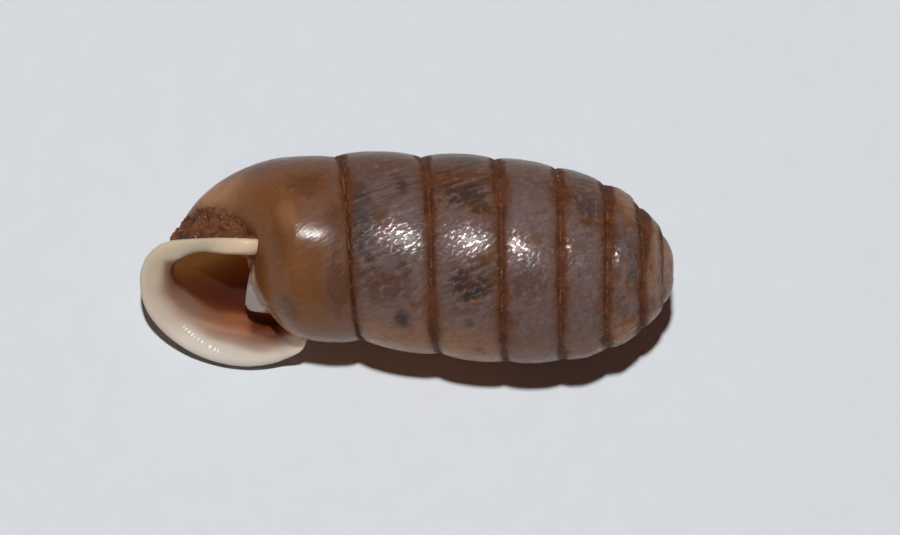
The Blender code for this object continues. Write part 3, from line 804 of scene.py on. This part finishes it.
def crumble(bench, base, given):
    # a lumpy surface with crumbs on it
    spot = bench.add("GeometryNodeInputPosition")
    lumps = (bench.noise(spot, 9000.0, 2.0) - 0.5) * given["Lumps"] * 2.0 * mm
    normal = bench.add("GeometryNodeInputNormal")
    offset = bench.add("ShaderNodeVectorMath", {"operation": "SCALE"}, {0: normal, "Scale": lumps})
    lumpy = bench.add("GeometryNodeSetPosition", None, {"Geometry": base, "Offset": offset})
    points = bench.add("GeometryNodeDistributePointsOnFaces", None,
                       {"Mesh": lumpy, "Density": given["Crumbs"] * 1e6, "Seed": given["Seed"]})
    crumb = bench.add("GeometryNodeMeshIcoSphere", None, {"Radius": mm, "Subdivisions": 1})
    turned = randomWorth(bench, (0.0, 0.0, 0.0), (6.3, 6.3, 6.3), given["Seed"] + 1, "FLOAT_VECTOR")
    size = randomWorth(bench, 0.0, 1.0, given["Seed"] + 2)
    size = given["Smallest"] + (given["Largest"] - given["Smallest"]) * size * size * size
    squash = randomWorth(bench, (0.6, 0.6, 0.6), (1.2, 1.2, 1.2), given["Seed"] + 3, "FLOAT_VECTOR")
    stretched = bench.add("ShaderNodeVectorMath", {"operation": "SCALE"}, {0: squash, "Scale": size})
    crumbs = bench.add("GeometryNodeInstanceOnPoints", None,
                       {"Points": points, "Instance": crumb, "Rotation": turned, "Scale": stretched})
    both = bench.tree.nodes.new("GeometryNodeJoinGeometry")
    bench.feed(both.inputs[0], crumbs)
    bench.feed(both.inputs[0], lumpy)
    return Worth(bench, both.outputs[0])


def makeSutureSoil(material):
    print("soil in the sutures")
    thing = newThing("sutureSoil", bpy.data.meshes.new("sutureSoil"))
    values = {**sutureSoil, **coil, "Material": material}
    bench, given, sockets = newTree("soilAlongSuture", values)
    line = bench.add("GeometryNodeMeshLine", None, {"Count": given["Bead steps"], "Offset": (0.0, 0.0, 0.0)})
    step = bench.add("GeometryNodeInputIndex") / (given["Bead steps"] - 1.0)
    turn = given["First turn"] + (given["turns"] - given["First turn"]) * step
    angle = angleAt(turn, given)
    out = sutureOut(turn, given) - given["Sunk"]
    along = sutureAlong(turn, given)
    spot = bench.combine(along * -mm, out * cosine(angle) * -mm, out * sine(angle) * mm)
    wound = bench.add("GeometryNodeSetPosition", None, {"Geometry": line, "Position": spot})
    curve = bench.add("GeometryNodeMeshToCurve", None, {"Mesh": wound})
    profile = bench.add("GeometryNodeCurvePrimitiveCircle", None,
                        {"Resolution": given["Bead sides"], "Radius": given["Bead radius"] * mm})
    thick = 0.66 + bench.noise(bench.add("GeometryNodeInputPosition"), 2600.0, 2.0) * 0.70
    grown = smoothStep((turn - given["First turn"]) / 2.5) * 0.7 + 0.3
    bead = bench.add("GeometryNodeCurveToMesh", None,
                     {"Curve": curve, "Profile Curve": profile, "Scale": thick * grown, "Fill Caps": True})
    finishTree(bench, crumble(bench, bead, given), given["Material"])
    mesh = runTree(thing, bench, sockets, values)
    mesh.transform(lyingMatrix())
    mesh.shade_smooth()
    thing.data = mesh
    return thing


def makePitSoil(material):
    print("soil in the pit")
    sheet = Sheet()
    behind = smoothCurve(pitFill["behindLip"], pitFill["steps"] + 1)
    shares = np.linspace(0.0, 1.0, pitFill["across"])
    rings = []
    for step in range(pitFill["steps"] + 1):
        turn = pitFill["firstTurn"] + (pitFill["lastTurn"] - pitFill["firstTurn"]) * step / pitFill["steps"]
        place = pitFill["places"][0] + (pitFill["places"][1] - pitFill["places"][0]) * step / pitFill["steps"]
        upper, before = (inSpace(*sectionPoint(np.array(turn), np.array(place - back)), turn) for back in (0.0, 0.02))
        run = (upper - before) / np.linalg.norm(upper - before) * pitFill["run"]
        lower = behind[step] * np.array([-1.0, 1.0, 1.0])
        handle = lower + np.array([0.0, 0.0, pitFill["up"]])
        front = np.stack([bezier((upper, upper + run, handle, lower), share) for share in shares])
        back = front[::-1] + np.array([0.0, pitFill["thickness"], -0.3 * pitFill["thickness"]])
        rings.append(sheet.row(np.vstack([front, back]), turn, 2.0))
    for first, second in zip(rings[:-1], rings[1:]):
        sheet.strip(first + first[:1], second + second[:1])
    points = np.concatenate(sheet.points)
    for ring in (rings[0], rings[-1]):
        sheet.fan(ring, points[ring].mean(axis=0), 7.5, 2.0)
    thing = newThing("pitSoil", sheet.mesh("pitSoil"))
    values = {**pitSoil, "Material": material}
    bench, given, sockets = newTree("soilInPit", values)
    finishTree(bench, crumble(bench, given["Geometry"], given), given["Material"])
    thing.data = runTree(thing, bench, sockets, values)
    return thing


# Materials

def newMaterial(name):
    material = bpy.data.materials.new(name)
    material.use_nodes = True
    return material, Bench(material.node_tree), material.node_tree.nodes["Principled BSDF"]


shellLook = {
    "mauve": (0.150, 0.085, 0.072), "brown": (0.130, 0.052, 0.020), "amber": (0.228, 0.090, 0.034), "deepAmber": (0.220, 0.066, 0.005),
    "tan": (0.430, 0.185, 0.070), "slate": (0.034, 0.024, 0.022), "rust": (0.125, 0.038, 0.012),
    "callus": (0.370, 0.225, 0.145), "pearl": (0.185, 0.136, 0.134), "warm": (0.130, 0.040, 0.007),
    "smoke": (0.085, 0.066, 0.066), "ink": (0.036, 0.027, 0.027), "bodyMauveAndSheen": (0.200, 0.110, 0.080),
    "umber": (0.070, 0.021, 0.007), "orange": (0.300, 0.100, 0.030), "edgeTan": (0.450, 0.225, 0.110),
    "pink": (0.620, 0.380, 0.560), "green": (0.380, 0.600, 0.480),
    "dusk": (0.085, 0.036, 0.018), "skin": (0.290, 0.200, 0.170), "smudge": (0.070, 0.040, 0.028),
    "bend": 1.28, "front": 0.314,
    # where the growth lines are dark and coarse, (turn, place, half length, half width)
    "coarse": ((5.47, 0.50, 0.070, 0.60), (6.37, 0.60, 0.100, 0.50), (3.52, 0.50, 0.070, 0.70),
               (5.27, 0.50, 0.050, 0.45), (4.52, 0.40, 0.060, 0.50), (6.45, 0.25, 0.030, 0.30)),
    # colour along the growth, (turn, colour)
    "growth": (
        (0.0, (0.400, 0.210, 0.090)), (1.6, (0.470, 0.290, 0.170)), (2.3, (0.132, 0.098, 0.086)),
        (3.1, (0.150, 0.088, 0.066)), (3.5, (0.130, 0.062, 0.034)),
        (4.2, (0.155, 0.085, 0.068)), (4.6, (0.180, 0.100, 0.066)),
        (5.15, (0.165, 0.090, 0.058)), (5.48, (0.140, 0.052, 0.016)),
        (6.1, (0.240, 0.120, 0.064)), (6.32, (0.125, 0.066, 0.040)),
        (6.55, (0.128, 0.054, 0.026)), (7.1, (0.175, 0.072, 0.028)),
        (7.35, (0.195, 0.076, 0.022)), (7.55, (0.215, 0.080, 0.025)),
        (8.0, (0.260, 0.110, 0.045))),
    # marks seen through the wall, (turn, place, half length, half width, strength, raggedness, colour); the mauve mark
    # at turn 7.362 and the tan mark at turn 7.358 are painted sheen round the last whorl's highlight
    "marks": (
        (7.362, 0.64, 0.055, 0.36, 0.55, 1.0, "bodyMauveAndSheen"), (7.262, 0.36, 0.055, 0.22, 0.65, 1.1, "bodyMauveAndSheen"),
        (7.310, 1.30, 0.050, 0.16, 0.45, 0.9, "brown"), (4.391, 0.55, 0.035, 0.45, 0.60, 0.6, "pearl"),
        (4.285, 0.52, 0.035, 0.40, 0.45, 0.7, "umber"), (6.255, 0.55, 0.035, 0.35, 0.45, 0.7, "umber"),
        (2.340, 0.50, 0.060, 0.50, 0.50, 0.5, "smoke"), (7.345, 0.24, 0.055, 0.20, 0.50, 0.8, "dusk"),
        (7.240, 0.26, 0.070, 0.24, 0.55, 0.9, "dusk"), (7.420, 0.74, 0.035, 0.34, 0.50, 1.1, "dusk"),
        (7.180, 1.20, 0.035, 0.22, 0.40, 1.0, "dusk"), (7.358, 1.12, 0.030, 0.16, 0.30, 1.0, "edgeTan"),
        (6.350, 0.84, 0.085, 0.17, 0.80, 1.3, "smoke"), (5.460, 0.80, 0.050, 0.35, 0.60, 1.0, "warm"),
        (6.193, 0.39, 0.024, 0.14, 0.85, 0.4, "ink"), (6.429, 0.32, 0.021, 0.12, 0.70, 0.5, "ink"),
        (6.300, 0.74, 0.010, 0.08, 0.75, 0.8, "ink"), (6.285, 0.34, 0.016, 0.09, 0.40, 0.5, "ink"),
        (5.272, 0.50, 0.030, 0.33, 0.85, 1.7, "slate"), (5.412, 0.45, 0.022, 0.36, 0.75, 1.7, "slate"),
        (5.505, 0.45, 0.020, 0.26, 0.75, 1.2, "slate"), (5.205, 0.45, 0.010, 0.12, 0.50, 1.0, "ink"),
        (5.140, 0.35, 0.012, 0.11, 0.50, 1.0, "ink"), (3.430, 0.40, 0.020, 0.40, 0.45, 1.5, "slate")),
}

mouthLook = {
    # colour from the rim inwards; 0 is where the pale callus ends and the thin wall begins (turns from there, colour);
    # the near-black stops past 0 are partly painted shade inside the mouth
    "inwards": (
        (-0.130, (0.660, 0.580, 0.490)), (-0.105, (0.600, 0.500, 0.410)), (-0.078, (0.430, 0.295, 0.220)),
        (-0.048, (0.295, 0.150, 0.092)), (-0.027, (0.245, 0.096, 0.044)), (-0.012, (0.130, 0.035, 0.011)),
        (0.006, (0.060, 0.014, 0.004)), (0.030, (0.028, 0.007, 0.002)), (0.250, (0.028, 0.007, 0.002))),
    # painted glow, emitted for the light that comes through the thin wall, over place + 7 depth
    "through": (
        (1.70, (0.027, 0.0038, 0.0018)), (1.87, (0.037, 0.0060, 0.0020)), (2.06, (0.052, 0.0120, 0.0030)),
        (2.22, (0.078, 0.0250, 0.0062)), (2.36, (0.115, 0.0450, 0.0125))),
    "edge": (0.037, 0.035, 0.006), "leftEdge": (0.040, 1.70, 0.10), "greyMauve": (0.250, 0.155, 0.122),
    "paintedLipLight": (0.860, 0.770, 0.670), "under": (0.150, 0.085, 0.048), "paintedShadeRed": (0.120, 0.024, 0.005), "flame": (0.360, 0.120, 0.045), "upper": (0.640, 0.530, 0.370),
    "blush": (0.350, 0.175, 0.105), "paintedWallLight": (0.105, 0.058, 0.041), "ripples": 22.0,
}


def rampOver(bench, value, stops):
    # colours at given values; the ramp itself runs from 0 to 1
    low, high = stops[0][0], stops[-1][0]
    share = (value - low) * (1.0 / (high - low))
    return bench.add("ShaderNodeValToRGB", {"stops": [((at - low) / (high - low), colour) for at, colour in stops]},
                     {"Fac": share})


def makeShellMaterial():
    material, bench, shader = newMaterial("thinBrownShell")
    mark = bench.add("ShaderNodeUVMap", {"uv_map": "growth"})
    parts = bench.tree.nodes.new("ShaderNodeSeparateXYZ")
    bench.tree.links.new(mark.socket, parts.inputs[0])
    turn, place = Worth(bench, parts.outputs[0]), Worth(bench, parts.outputs[1])
    spot = Worth(bench, bench.tree.nodes.new("ShaderNodeTexCoord").outputs["Object"])
    pale = bench.add("ShaderNodeAttribute", {"attribute_name": "pale"}, None, "Fac")
    depth = bench.add("ShaderNodeAttribute", {"attribute_name": "depth"}, None, "Fac")
    cloud = bench.noise(spot, 1900.0, 3.0)
    broad = bench.noise(spot, 800.0, 2.0)
    grain = bench.noise(spot, 22000.0, 2.0)
    phase = linePhase(bench, turn, place, growthLines["Lines"], growthLines["Lean"])
    fine = bench.noise(bench.combine(phase, place * 1.6, 2.0), 1.0, 2.0, 0.6)
    streak = bench.noise(bench.combine(phase * 0.30, place * 1.1, 9.0), 1.0, 2.0, 0.6)
    # ground colour
    colour = rampOver(bench, turn + (broad - 0.5) * 0.5, shellLook["growth"])
    onBody = bench.between(turn, 7.00, 7.12)
    plain = 1.0 - onBody * bench.between(place, 0.3, 0.8)
    colour = bench.colours(bench.between(cloud, 0.48, 0.68) * plain * 0.65, colour, shellLook["mauve"])
    colour = bench.colours(bench.between(cloud, 0.48, 0.30) * 0.60, colour, shellLook["brown"])
    amber = onBody * bench.between(place + (broad - 0.5) * 1.2, 0.20, 1.00)
    colour = bench.colours(amber * 0.80, colour, shellLook["amber"])
    deepAmber = onBody * bench.between(place + (broad - 0.5) * 0.5, 1.15, 1.42) * bench.between(place, 1.95, 1.65)
    colour = bench.colours(deepAmber * bench.between(turn, 7.50, 7.40) * 0.75, colour, shellLook["deepAmber"])
    # mauve beside the suture of the last whorl, partly its own colour and partly painted sheen round its highlight
    lilac = onBody * bench.between(place + (cloud - 0.5) * 0.6, 0.60, 0.15) * bench.between(turn, 7.52, 7.40)
    colour = bench.colours(lilac * 0.50, colour, shellLook["bodyMauveAndSheen"])
    thin = onBody * bench.between(place + (cloud - 0.5) * 0.4, 1.30, 1.75) * bench.between(turn, 7.40, 7.52)
    colour = bench.colours(thin * 0.95, colour, shellLook["edgeTan"])
    # painted light and shade by how each whorl faces the lamp: a painted sheen paler at the front, painted light in tan
    # below and painted shade in warm brown above
    around = (turn - shellLook["front"]) * (2.0 * math.pi)
    facing, rising = cosine(around), sine(around)
    spireOnly = bench.between(turn, 7.02, 6.9)
    paintedSheenAtFront = bench.between(facing, 0.35, 0.90) * spireOnly * bench.between(cloud, 0.30, 0.50)
    colour = bench.colours(paintedSheenAtFront * 0.60, colour, shellLook["pearl"])
    middle = bench.between(turn, 5.0, 4.7) * bench.between(turn, 2.4, 3.0)
    # painted light from below, in tan, on the lower sides of the whorls
    low = bench.between(facing, 0.90, 0.40) * bench.between(rising, -0.20, -0.75) * (0.80 - middle * 0.5 - onBody * 0.55)
    colour = bench.colours(low, colour, shellLook["tan"])
    # painted shade, in warm brown, on the upper sides of the whorls
    high = bench.between(facing, 0.78, 0.25) * bench.between(rising, 0.2, 0.8) * (0.75 - middle * 0.25) * (1.0 - thin)
    colour = bench.colours(high, colour, shellLook["warm"])
    # painted light, in tan, on the upper and lower sides of the first turns
    paintedTipSideLight = bench.between(turn, 2.9, 2.5) * bench.between(facing, 0.92, 0.50)
    colour = bench.colours(paintedTipSideLight * 0.58, colour, shellLook["tan"])
    # dark marks under the skin, with painted sheen marks round the last whorl's highlight
    mottle = bench.noise(bench.combine(phase * 0.9, place * 9.0, 21.0), 1.0, 3.0, 0.65)
    edge = (cloud - 0.5) * 1.0 + (fine - 0.5) * 0.4 + (mottle - 0.5) * 1.6
    for at, across, length, width, strength, ragged, name in shellLook["marks"]:
        along, over = (turn - at) * (1.0 / length), (place - across) * (1.0 / width)
        far = root(along * along + over * over) + edge * ragged
        colour = bench.colours(bench.between(far, 1.25, 0.35) * strength, colour, shellLook[name])
    # mottled skin
    colour = bench.colours(bench.between(mottle, 0.52, 0.68) * (0.42 - onBody * 0.27), colour, shellLook["skin"])
    colour = bench.colours(bench.between(mottle, 0.48, 0.32) * (0.44 - onBody * 0.24), colour, shellLook["smudge"])
    # growth lines, light and dark
    coarse = 0.12
    for at, across, length, width in shellLook["coarse"]:
        along, over = (turn - at) * (1.0 / length), (place - across) * (1.0 / width)
        coarse = bench.between(root(along * along + over * over) + (cloud - 0.5) * 1.5, 1.2, 0.5) * 0.6 + coarse
    lined = 1.0 - onBody * 0.6
    coarse = atMost(coarse, 0.95) * lined * (bench.between(mottle, 0.40, 0.60) * 0.6 + 0.4)
    colour = bench.colours(bench.between(fine, 0.52, 0.34) * coarse, colour, shellLook["slate"])
    colour = bench.colours(bench.between(fine, 0.53, 0.68) * lined * (coarse * 0.30 + 0.06), colour, shellLook["tan"])
    thread = bench.noise(bench.combine(phase * 2.2, place * 2.0, 5.0), 1.0, 2.0, 0.6)
    colour = bench.colours(bench.between(thread, 0.50, 0.36) * (coarse * 0.5 + 0.02), colour, shellLook["slate"])
    colour = bench.colours(bench.between(streak, 0.50, 0.30) * 0.22, colour, shellLook["brown"])
    colour = bench.colours(bench.between(grain, 0.58, 0.75) * 0.12, colour, shellLook["tan"])
    # rough tip
    knobs = bench.noise(bench.combine(phase * 0.22, place * 2.6, 11.0), 1.0, 3.0, 0.6)
    atTip = bench.between(turn, 3.2, 1.9)
    colour = bench.colours(bench.between(knobs, 0.49, 0.38) * atTip * 0.60, colour, shellLook["warm"])
    colour = bench.colours(bench.between(knobs, 0.54, 0.66) * atTip * 0.35, colour, shellLook["tan"])
    # rust in the sutures
    ragged = (bench.noise(spot, 7000.0, 3.0) - 0.5) * 0.08 + (bench.noise(spot, 1600.0, 2.0) - 0.5) * 0.16
    under = 1.0 - place + bench.between(turn, 6.99, 7.01) * 9.0
    near = place.sum("MINIMUM", under) * (turn * 0.188 + 0.12) + ragged - bench.between(rising, 0.2, 0.9) * 0.04
    grown = bench.between(turn, 0.3, 1.2)
    colour = bench.colours(bench.between(near, 0.22, 0.06) * grown * 0.50, colour, shellLook["warm"])
    rust = bench.between(near + (bench.noise(spot, 16000.0, 2.0) - 0.5) * 0.08, 0.115, 0.030) * grown
    crumbs = bench.noise(spot, 24000.0, 2.0)
    soil = bench.colours(bench.between(bench.noise(spot, 3600.0, 3.0), 0.40, 0.60), shellLook["umber"], shellLook["rust"])
    soil = bench.colours(bench.between(crumbs, 0.56, 0.70) * 0.5, soil, shellLook["orange"])
    colour = bench.colours(rust * 0.92, colour, soil)
    # soil rubbed into the skin round the pit
    rubbed = bench.between(place + ragged * 1.6, 1.74, 2.02) * bench.between(turn, 7.22, 7.36) * bench.between(turn, 8.0, 7.9)
    colour = bench.colours(rubbed * 0.75, colour, shellLook["rust"])
    # callus on the wall beside the mouth
    callus = bench.between(turn, 7.165, 7.105) * bench.between(turn, 6.99, 7.0) * bench.between(place, 0.90, 1.05)
    callus = callus * (bench.between(place, 1.30, 1.60) * 0.55 + 0.35)
    colour = bench.colours(callus * bench.between(place, 2.25, 2.05) * 0.80, colour, shellLook["callus"])
    # lip and mouth
    base, lower, upper = mouthLook["edge"]
    top, start, fall = mouthLook["leftEdge"]
    # wallEdge is where the pale callus gives way to the dark thin wall; the near-black past it is partly painted shade
    # inside the mouth
    wallEdge = base + atMost(place - 1.0, 0.0) * lower + atLeast(place - 1.0, 0.0) * upper
    inwards = depth - atMost(wallEdge, top - (place - start) * fall)
    inwards = inwards * (bench.between(place, 1.80, 2.10) * 0.6 + 1.0)
    within = rampOver(bench, inwards, mouthLook["inwards"])
    inFunnel = bench.between(inwards, -0.085, -0.050) * bench.between(inwards, 0.0, -0.022)
    # painted light on the lower lip's rim, which tilts away from the lamp
    within = bench.colours(bench.between(place, 1.55, 1.25) * bench.between(inwards, -0.07, -0.10) * 0.7, within, mouthLook["paintedLipLight"])
    within = bench.colours(bench.between(place, 1.25, 1.60) * inFunnel * 0.7, within, mouthLook["greyMauve"])
    # painted shade, dark red, in the lower right of the funnel below the tooth
    within = bench.colours(bench.between(place, 0.95, 0.70) * bench.between(place, 0.15, 0.45) * inFunnel * 0.95, within, mouthLook["paintedShadeRed"])
    within = bench.colours(bench.between(place, 0.72, 0.88) * bench.between(place, 1.22, 1.05) * inFunnel * 0.6, within, mouthLook["flame"])
    within = bench.colours(bench.between(place, 1.50, 2.35) * bench.between(inwards, -0.05, -0.10) * 0.8, within, mouthLook["upper"])
    within = bench.colours(bench.between(place, 1.45, 1.15) * bench.between(place, 0.30, 0.65) * bench.between(inwards, -0.105, -0.085) * bench.between(inwards, -0.045, -0.060) * 0.6, within, mouthLook["blush"])
    # painted glow deep in the mouth, for light through the thin wall; it and the painted light below feed Emission
    deep = bench.between(inwards, -0.012, 0.014) * pale
    paintedGlow = bench.colours(deep, (0.0, 0.0, 0.0), rampOver(bench, place + depth * 7.0, mouthLook["through"]))
    # painted light on the callus just behind the body's outline, where it lies in shade
    behind = callus * bench.between(turn, 7.135, 7.085) * bench.between(place, 2.20, 2.00) * (1.0 - pale)
    # painted light on the underside of the lip's upper band, which faces down into shade
    paintedLightUnderLip = pale * bench.between(depth, -0.125, -0.138) * bench.between(place, 2.60, 2.82) * bench.between(place, 2.92, 2.88)
    paintedGlow = bench.colours(paintedLightUnderLip, paintedGlow, mouthLook["under"])
    # painted highlight dots along the lower left of the lip
    line = depth + 0.0705 + (1.212 - place) * 0.050
    spacing = bench.noise(bench.combine(place * 14.0, 3.0, 8.0), 1.0, 0.0) * 7.0
    paintedGlintDots = bench.between(cosine(place * 190.0 + spacing) - line * line * 50000.0, -0.1, 0.6) * pale
    paintedGlintDots = paintedGlintDots * bench.between(spacing, 1.8, 4.4) * bench.between(place, 1.00, 1.10) * bench.between(place, 1.46, 1.36)
    paintedGlow = bench.colours(paintedGlintDots, paintedGlow, (0.48, 0.47, 0.45))
    # painted light on the end of the lip, lifting the shadow the body casts on it
    paintedLightOnLipEnd = pale * bench.between(place, 0.38, 0.12)
    paintedGlow = bench.colours(paintedLightOnLipEnd, paintedGlow, bench.colours(bench.between(inwards, -0.035, -0.065), (0.050, 0.015, 0.006), (0.110, 0.080, 0.058)))
    bench.feed(shader.inputs["Emission Color"], bench.colours(behind, paintedGlow, mouthLook["paintedWallLight"]))
    shader.inputs["Emission Strength"].default_value = 1.0
    colour = bench.colours(pale, colour, within)
    # pearly specks: metallic flecks whose pink and green is a painted glint colour, set only where the highlight falls
    flake = bench.noise(bench.combine(phase * 1.4, place * 12.0, 3.0), 1.0, 1.0)
    shining = bench.between(facing, 0.86, 0.98) * bench.between(rising, -0.22, 0.0)
    speck = bench.between(flake, 0.54, 0.62) * (1.0 - pale) * (1.0 - rust) * (1.0 - amber * 0.8) * shining
    hue = bench.between(bench.noise(spot, 12000.0, 1.0), 0.44, 0.56)
    colour = bench.colours(speck * paintedSheenAtFront * 0.25, colour, bench.colours(hue, shellLook["green"], shellLook["pink"]))
    bench.feed(shader.inputs["Base Color"], colour)
    bench.feed(shader.inputs["Metallic"], speck * paintedSheenAtFront * 0.50)
    rough = 0.23 + (cloud - 0.5) * 0.30 + rust * 0.40 + (1.0 - fine) * 0.10 + bench.between(depth, -0.07, -0.02) * pale * 0.3
    bench.feed(shader.inputs["Roughness"], rough)
    # fine relief too small for the mesh
    ripple = bench.noise(bench.combine(place * mouthLook["ripples"], depth * 110.0, 1.0), 1.0, 1.0)
    onLip = bench.between(place, 1.00, 1.20) * bench.between(place, 1.85, 1.65) * bench.between(depth, -0.050, -0.085)
    height = (fine * (0.11 - onBody * 0.08) + grain * 0.04 + flake * shining * (paintedSheenAtFront * 0.30 + 0.04)) * (1.0 - pale) + ripple * pale * (onLip * 0.30 + 0.05)
    bump = bench.add("ShaderNodeBump", None, {"Strength": 0.8, "Distance": 0.000025, "Height": height})
    bench.feed(shader.inputs["Normal"], bump)
    shader.inputs["IOR"].default_value = shellLook["bend"]
    shader.inputs["Subsurface Weight"].default_value = 0.22
    shader.inputs["Subsurface Radius"].default_value = (1.0, 0.45, 0.25)
    shader.inputs["Subsurface Scale"].default_value = 0.00015
    return material


soilLook = {
    "rust": (0.165, 0.052, 0.016), "umber": (0.085, 0.028, 0.010), "orange": (0.330, 0.115, 0.032),
    "glint": (0.480, 0.340, 0.230), "roughness": 0.80,
}


def makeSoilMaterial():
    material, bench, shader = newMaterial("rustySoil")
    spot = Worth(bench, bench.tree.nodes.new("ShaderNodeTexCoord").outputs["Object"])
    patch = bench.noise(spot, 4000.0, 3.0)
    grain = bench.noise(spot, 26000.0, 2.0)
    spark = bench.noise(spot, 17000.0, 1.0)
    colour = bench.colours(bench.between(patch, 0.40, 0.62), soilLook["umber"], soilLook["rust"])
    colour = bench.colours(bench.between(bench.noise(spot, 9000.0, 2.0), 0.54, 0.66) * 0.4, colour, soilLook["orange"])
    colour = bench.colours(bench.between(grain, 0.56, 0.70) * 0.5, colour, soilLook["orange"])
    colour = bench.colours(bench.between(spark, 0.71, 0.76), colour, soilLook["glint"])
    bench.feed(shader.inputs["Base Color"], colour)
    shader.inputs["Roughness"].default_value = soilLook["roughness"]
    bump = bench.add("ShaderNodeBump", None, {"Strength": 0.6, "Distance": 0.00002, "Height": grain})
    bench.feed(shader.inputs["Normal"], bump)
    return material


def makeToothMaterial():
    material, bench, shader = newMaterial("whiteTooth")
    place = Worth(bench, bench.tree.nodes.new("ShaderNodeTexCoord").outputs["Object"])
    parts = bench.tree.nodes.new("ShaderNodeSeparateXYZ")
    bench.tree.links.new(place.socket, parts.inputs[0])
    buried = bench.between(Worth(bench, parts.outputs[0]), -0.00213, -0.00203)
    cloud = bench.noise(place, 4000.0, 2.0)
    # base colour kept dark, as the painted glow carries much of the tooth's brightness
    white = bench.colours(cloud, (0.180, 0.165, 0.170), (0.130, 0.110, 0.115))
    bench.feed(shader.inputs["Base Color"], bench.colours(buried, white, (0.090, 0.040, 0.026)))
    # painted glow, standing in for light through the tooth and lifting its shaded side
    bench.feed(shader.inputs["Emission Color"], bench.colours(buried, (0.150, 0.118, 0.106), (0.075, 0.032, 0.020)))
    shader.inputs["Emission Strength"].default_value = 1.0
    shader.inputs["Roughness"].default_value = 0.35
    shader.inputs["Subsurface Weight"].default_value = 0.2
    shader.inputs["Subsurface Scale"].default_value = 0.0001
    return material


def makePaperMaterial():
    material, bench, shader = newMaterial("palePaper")
    place = Worth(bench, bench.tree.nodes.new("ShaderNodeTexCoord").outputs["Object"])
    cloud = bench.noise(place, 2200.0, 5.0, 0.7)
    bench.feed(shader.inputs["Base Color"], bench.colours(cloud, (0.74, 0.79, 0.845), (0.81, 0.86, 0.895)))
    shader.inputs["Roughness"].default_value = 0.9
    return material


def newThing(name, mesh):
    thing = bpy.data.objects.new(name, mesh)
    bpy.context.scene.collection.objects.link(thing)
    return thing


# Paper, lights and camera

view = {"tilt": math.atan(0.0955), "target": (-3.3519, 0.0, -0.1811), "frameWidth": 13.536, "lens": 400.0}
lamp = {"above": math.radians(17.6), "distance": 0.30, "size": 0.016, "power": 0.73}
fill = {"strength": 0.045, "colour": (1.0, 0.50, 0.42)}


def viewTurn():
    turned = lyingMatrix().to_3x3()
    tilt = view["tilt"]
    right = turned @ Vector((math.cos(tilt), 0.0, math.sin(tilt)))
    up = turned @ Vector((-math.sin(tilt), 0.0, math.cos(tilt)))
    return right, up, right.cross(up)


def aimed(right, up, back, spot):
    turned = Matrix((right, up, back)).transposed().to_4x4()
    return Matrix.Translation(spot) @ turned


def makeStage():
    print("stage")
    mesh = bpy.data.meshes.new("paper")
    side = 0.4
    mesh.from_pydata([(-side, -side, 0), (side, -side, 0), (side, side, 0), (-side, side, 0)], [], [(0, 1, 2, 3)])
    mesh.materials.append(makePaperMaterial())
    newThing("paper", mesh)
    right, up, back = viewTurn()
    target = lyingMatrix() @ (Vector(view["target"]) * mm)
    camera = bpy.data.cameras.new("camera")
    camera.lens = view["lens"]
    camera.sensor_width = 36.0
    camera.clip_start = 0.001
    holder = newThing("camera", camera)
    distance = view["frameWidth"] * mm * camera.lens / camera.sensor_width
    holder.matrix_world = aimed(right, up, back, target + back * distance)
    bpy.context.scene.camera = holder
    light = bpy.data.lights.new("lamp", "AREA")
    light.shape = "DISK"
    light.size = lamp["size"]
    light.energy = lamp["power"]
    toLamp = (back * math.cos(lamp["above"]) + up * math.sin(lamp["above"])).normalized()
    side = up.cross(toLamp).normalized()
    lampThing = newThing("lamp", light)
    lampThing.matrix_world = aimed(side, toLamp.cross(side), toLamp, target + toLamp * lamp["distance"])
    world = bpy.data.worlds.new("room")
    bpy.context.scene.world = world
    world.use_nodes = True
    sky = world.node_tree.nodes["Background"]
    sky.inputs["Color"].default_value = (*fill["colour"], 1.0)
    sky.inputs["Strength"].default_value = fill["strength"]
    bpy.context.scene.view_settings.view_transform = "Standard"


shellMaterial = makeShellMaterial()
soilMaterial = makeSoilMaterial()
pieces = [makeSpire(shellMaterial), makeLastWhorl(shellMaterial), makeTooth(makeToothMaterial()),
          makeSutureSoil(soilMaterial), makePitSoil(soilMaterial)]
for piece in pieces:
    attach(piece, "root")
    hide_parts("shell")
makeStage()
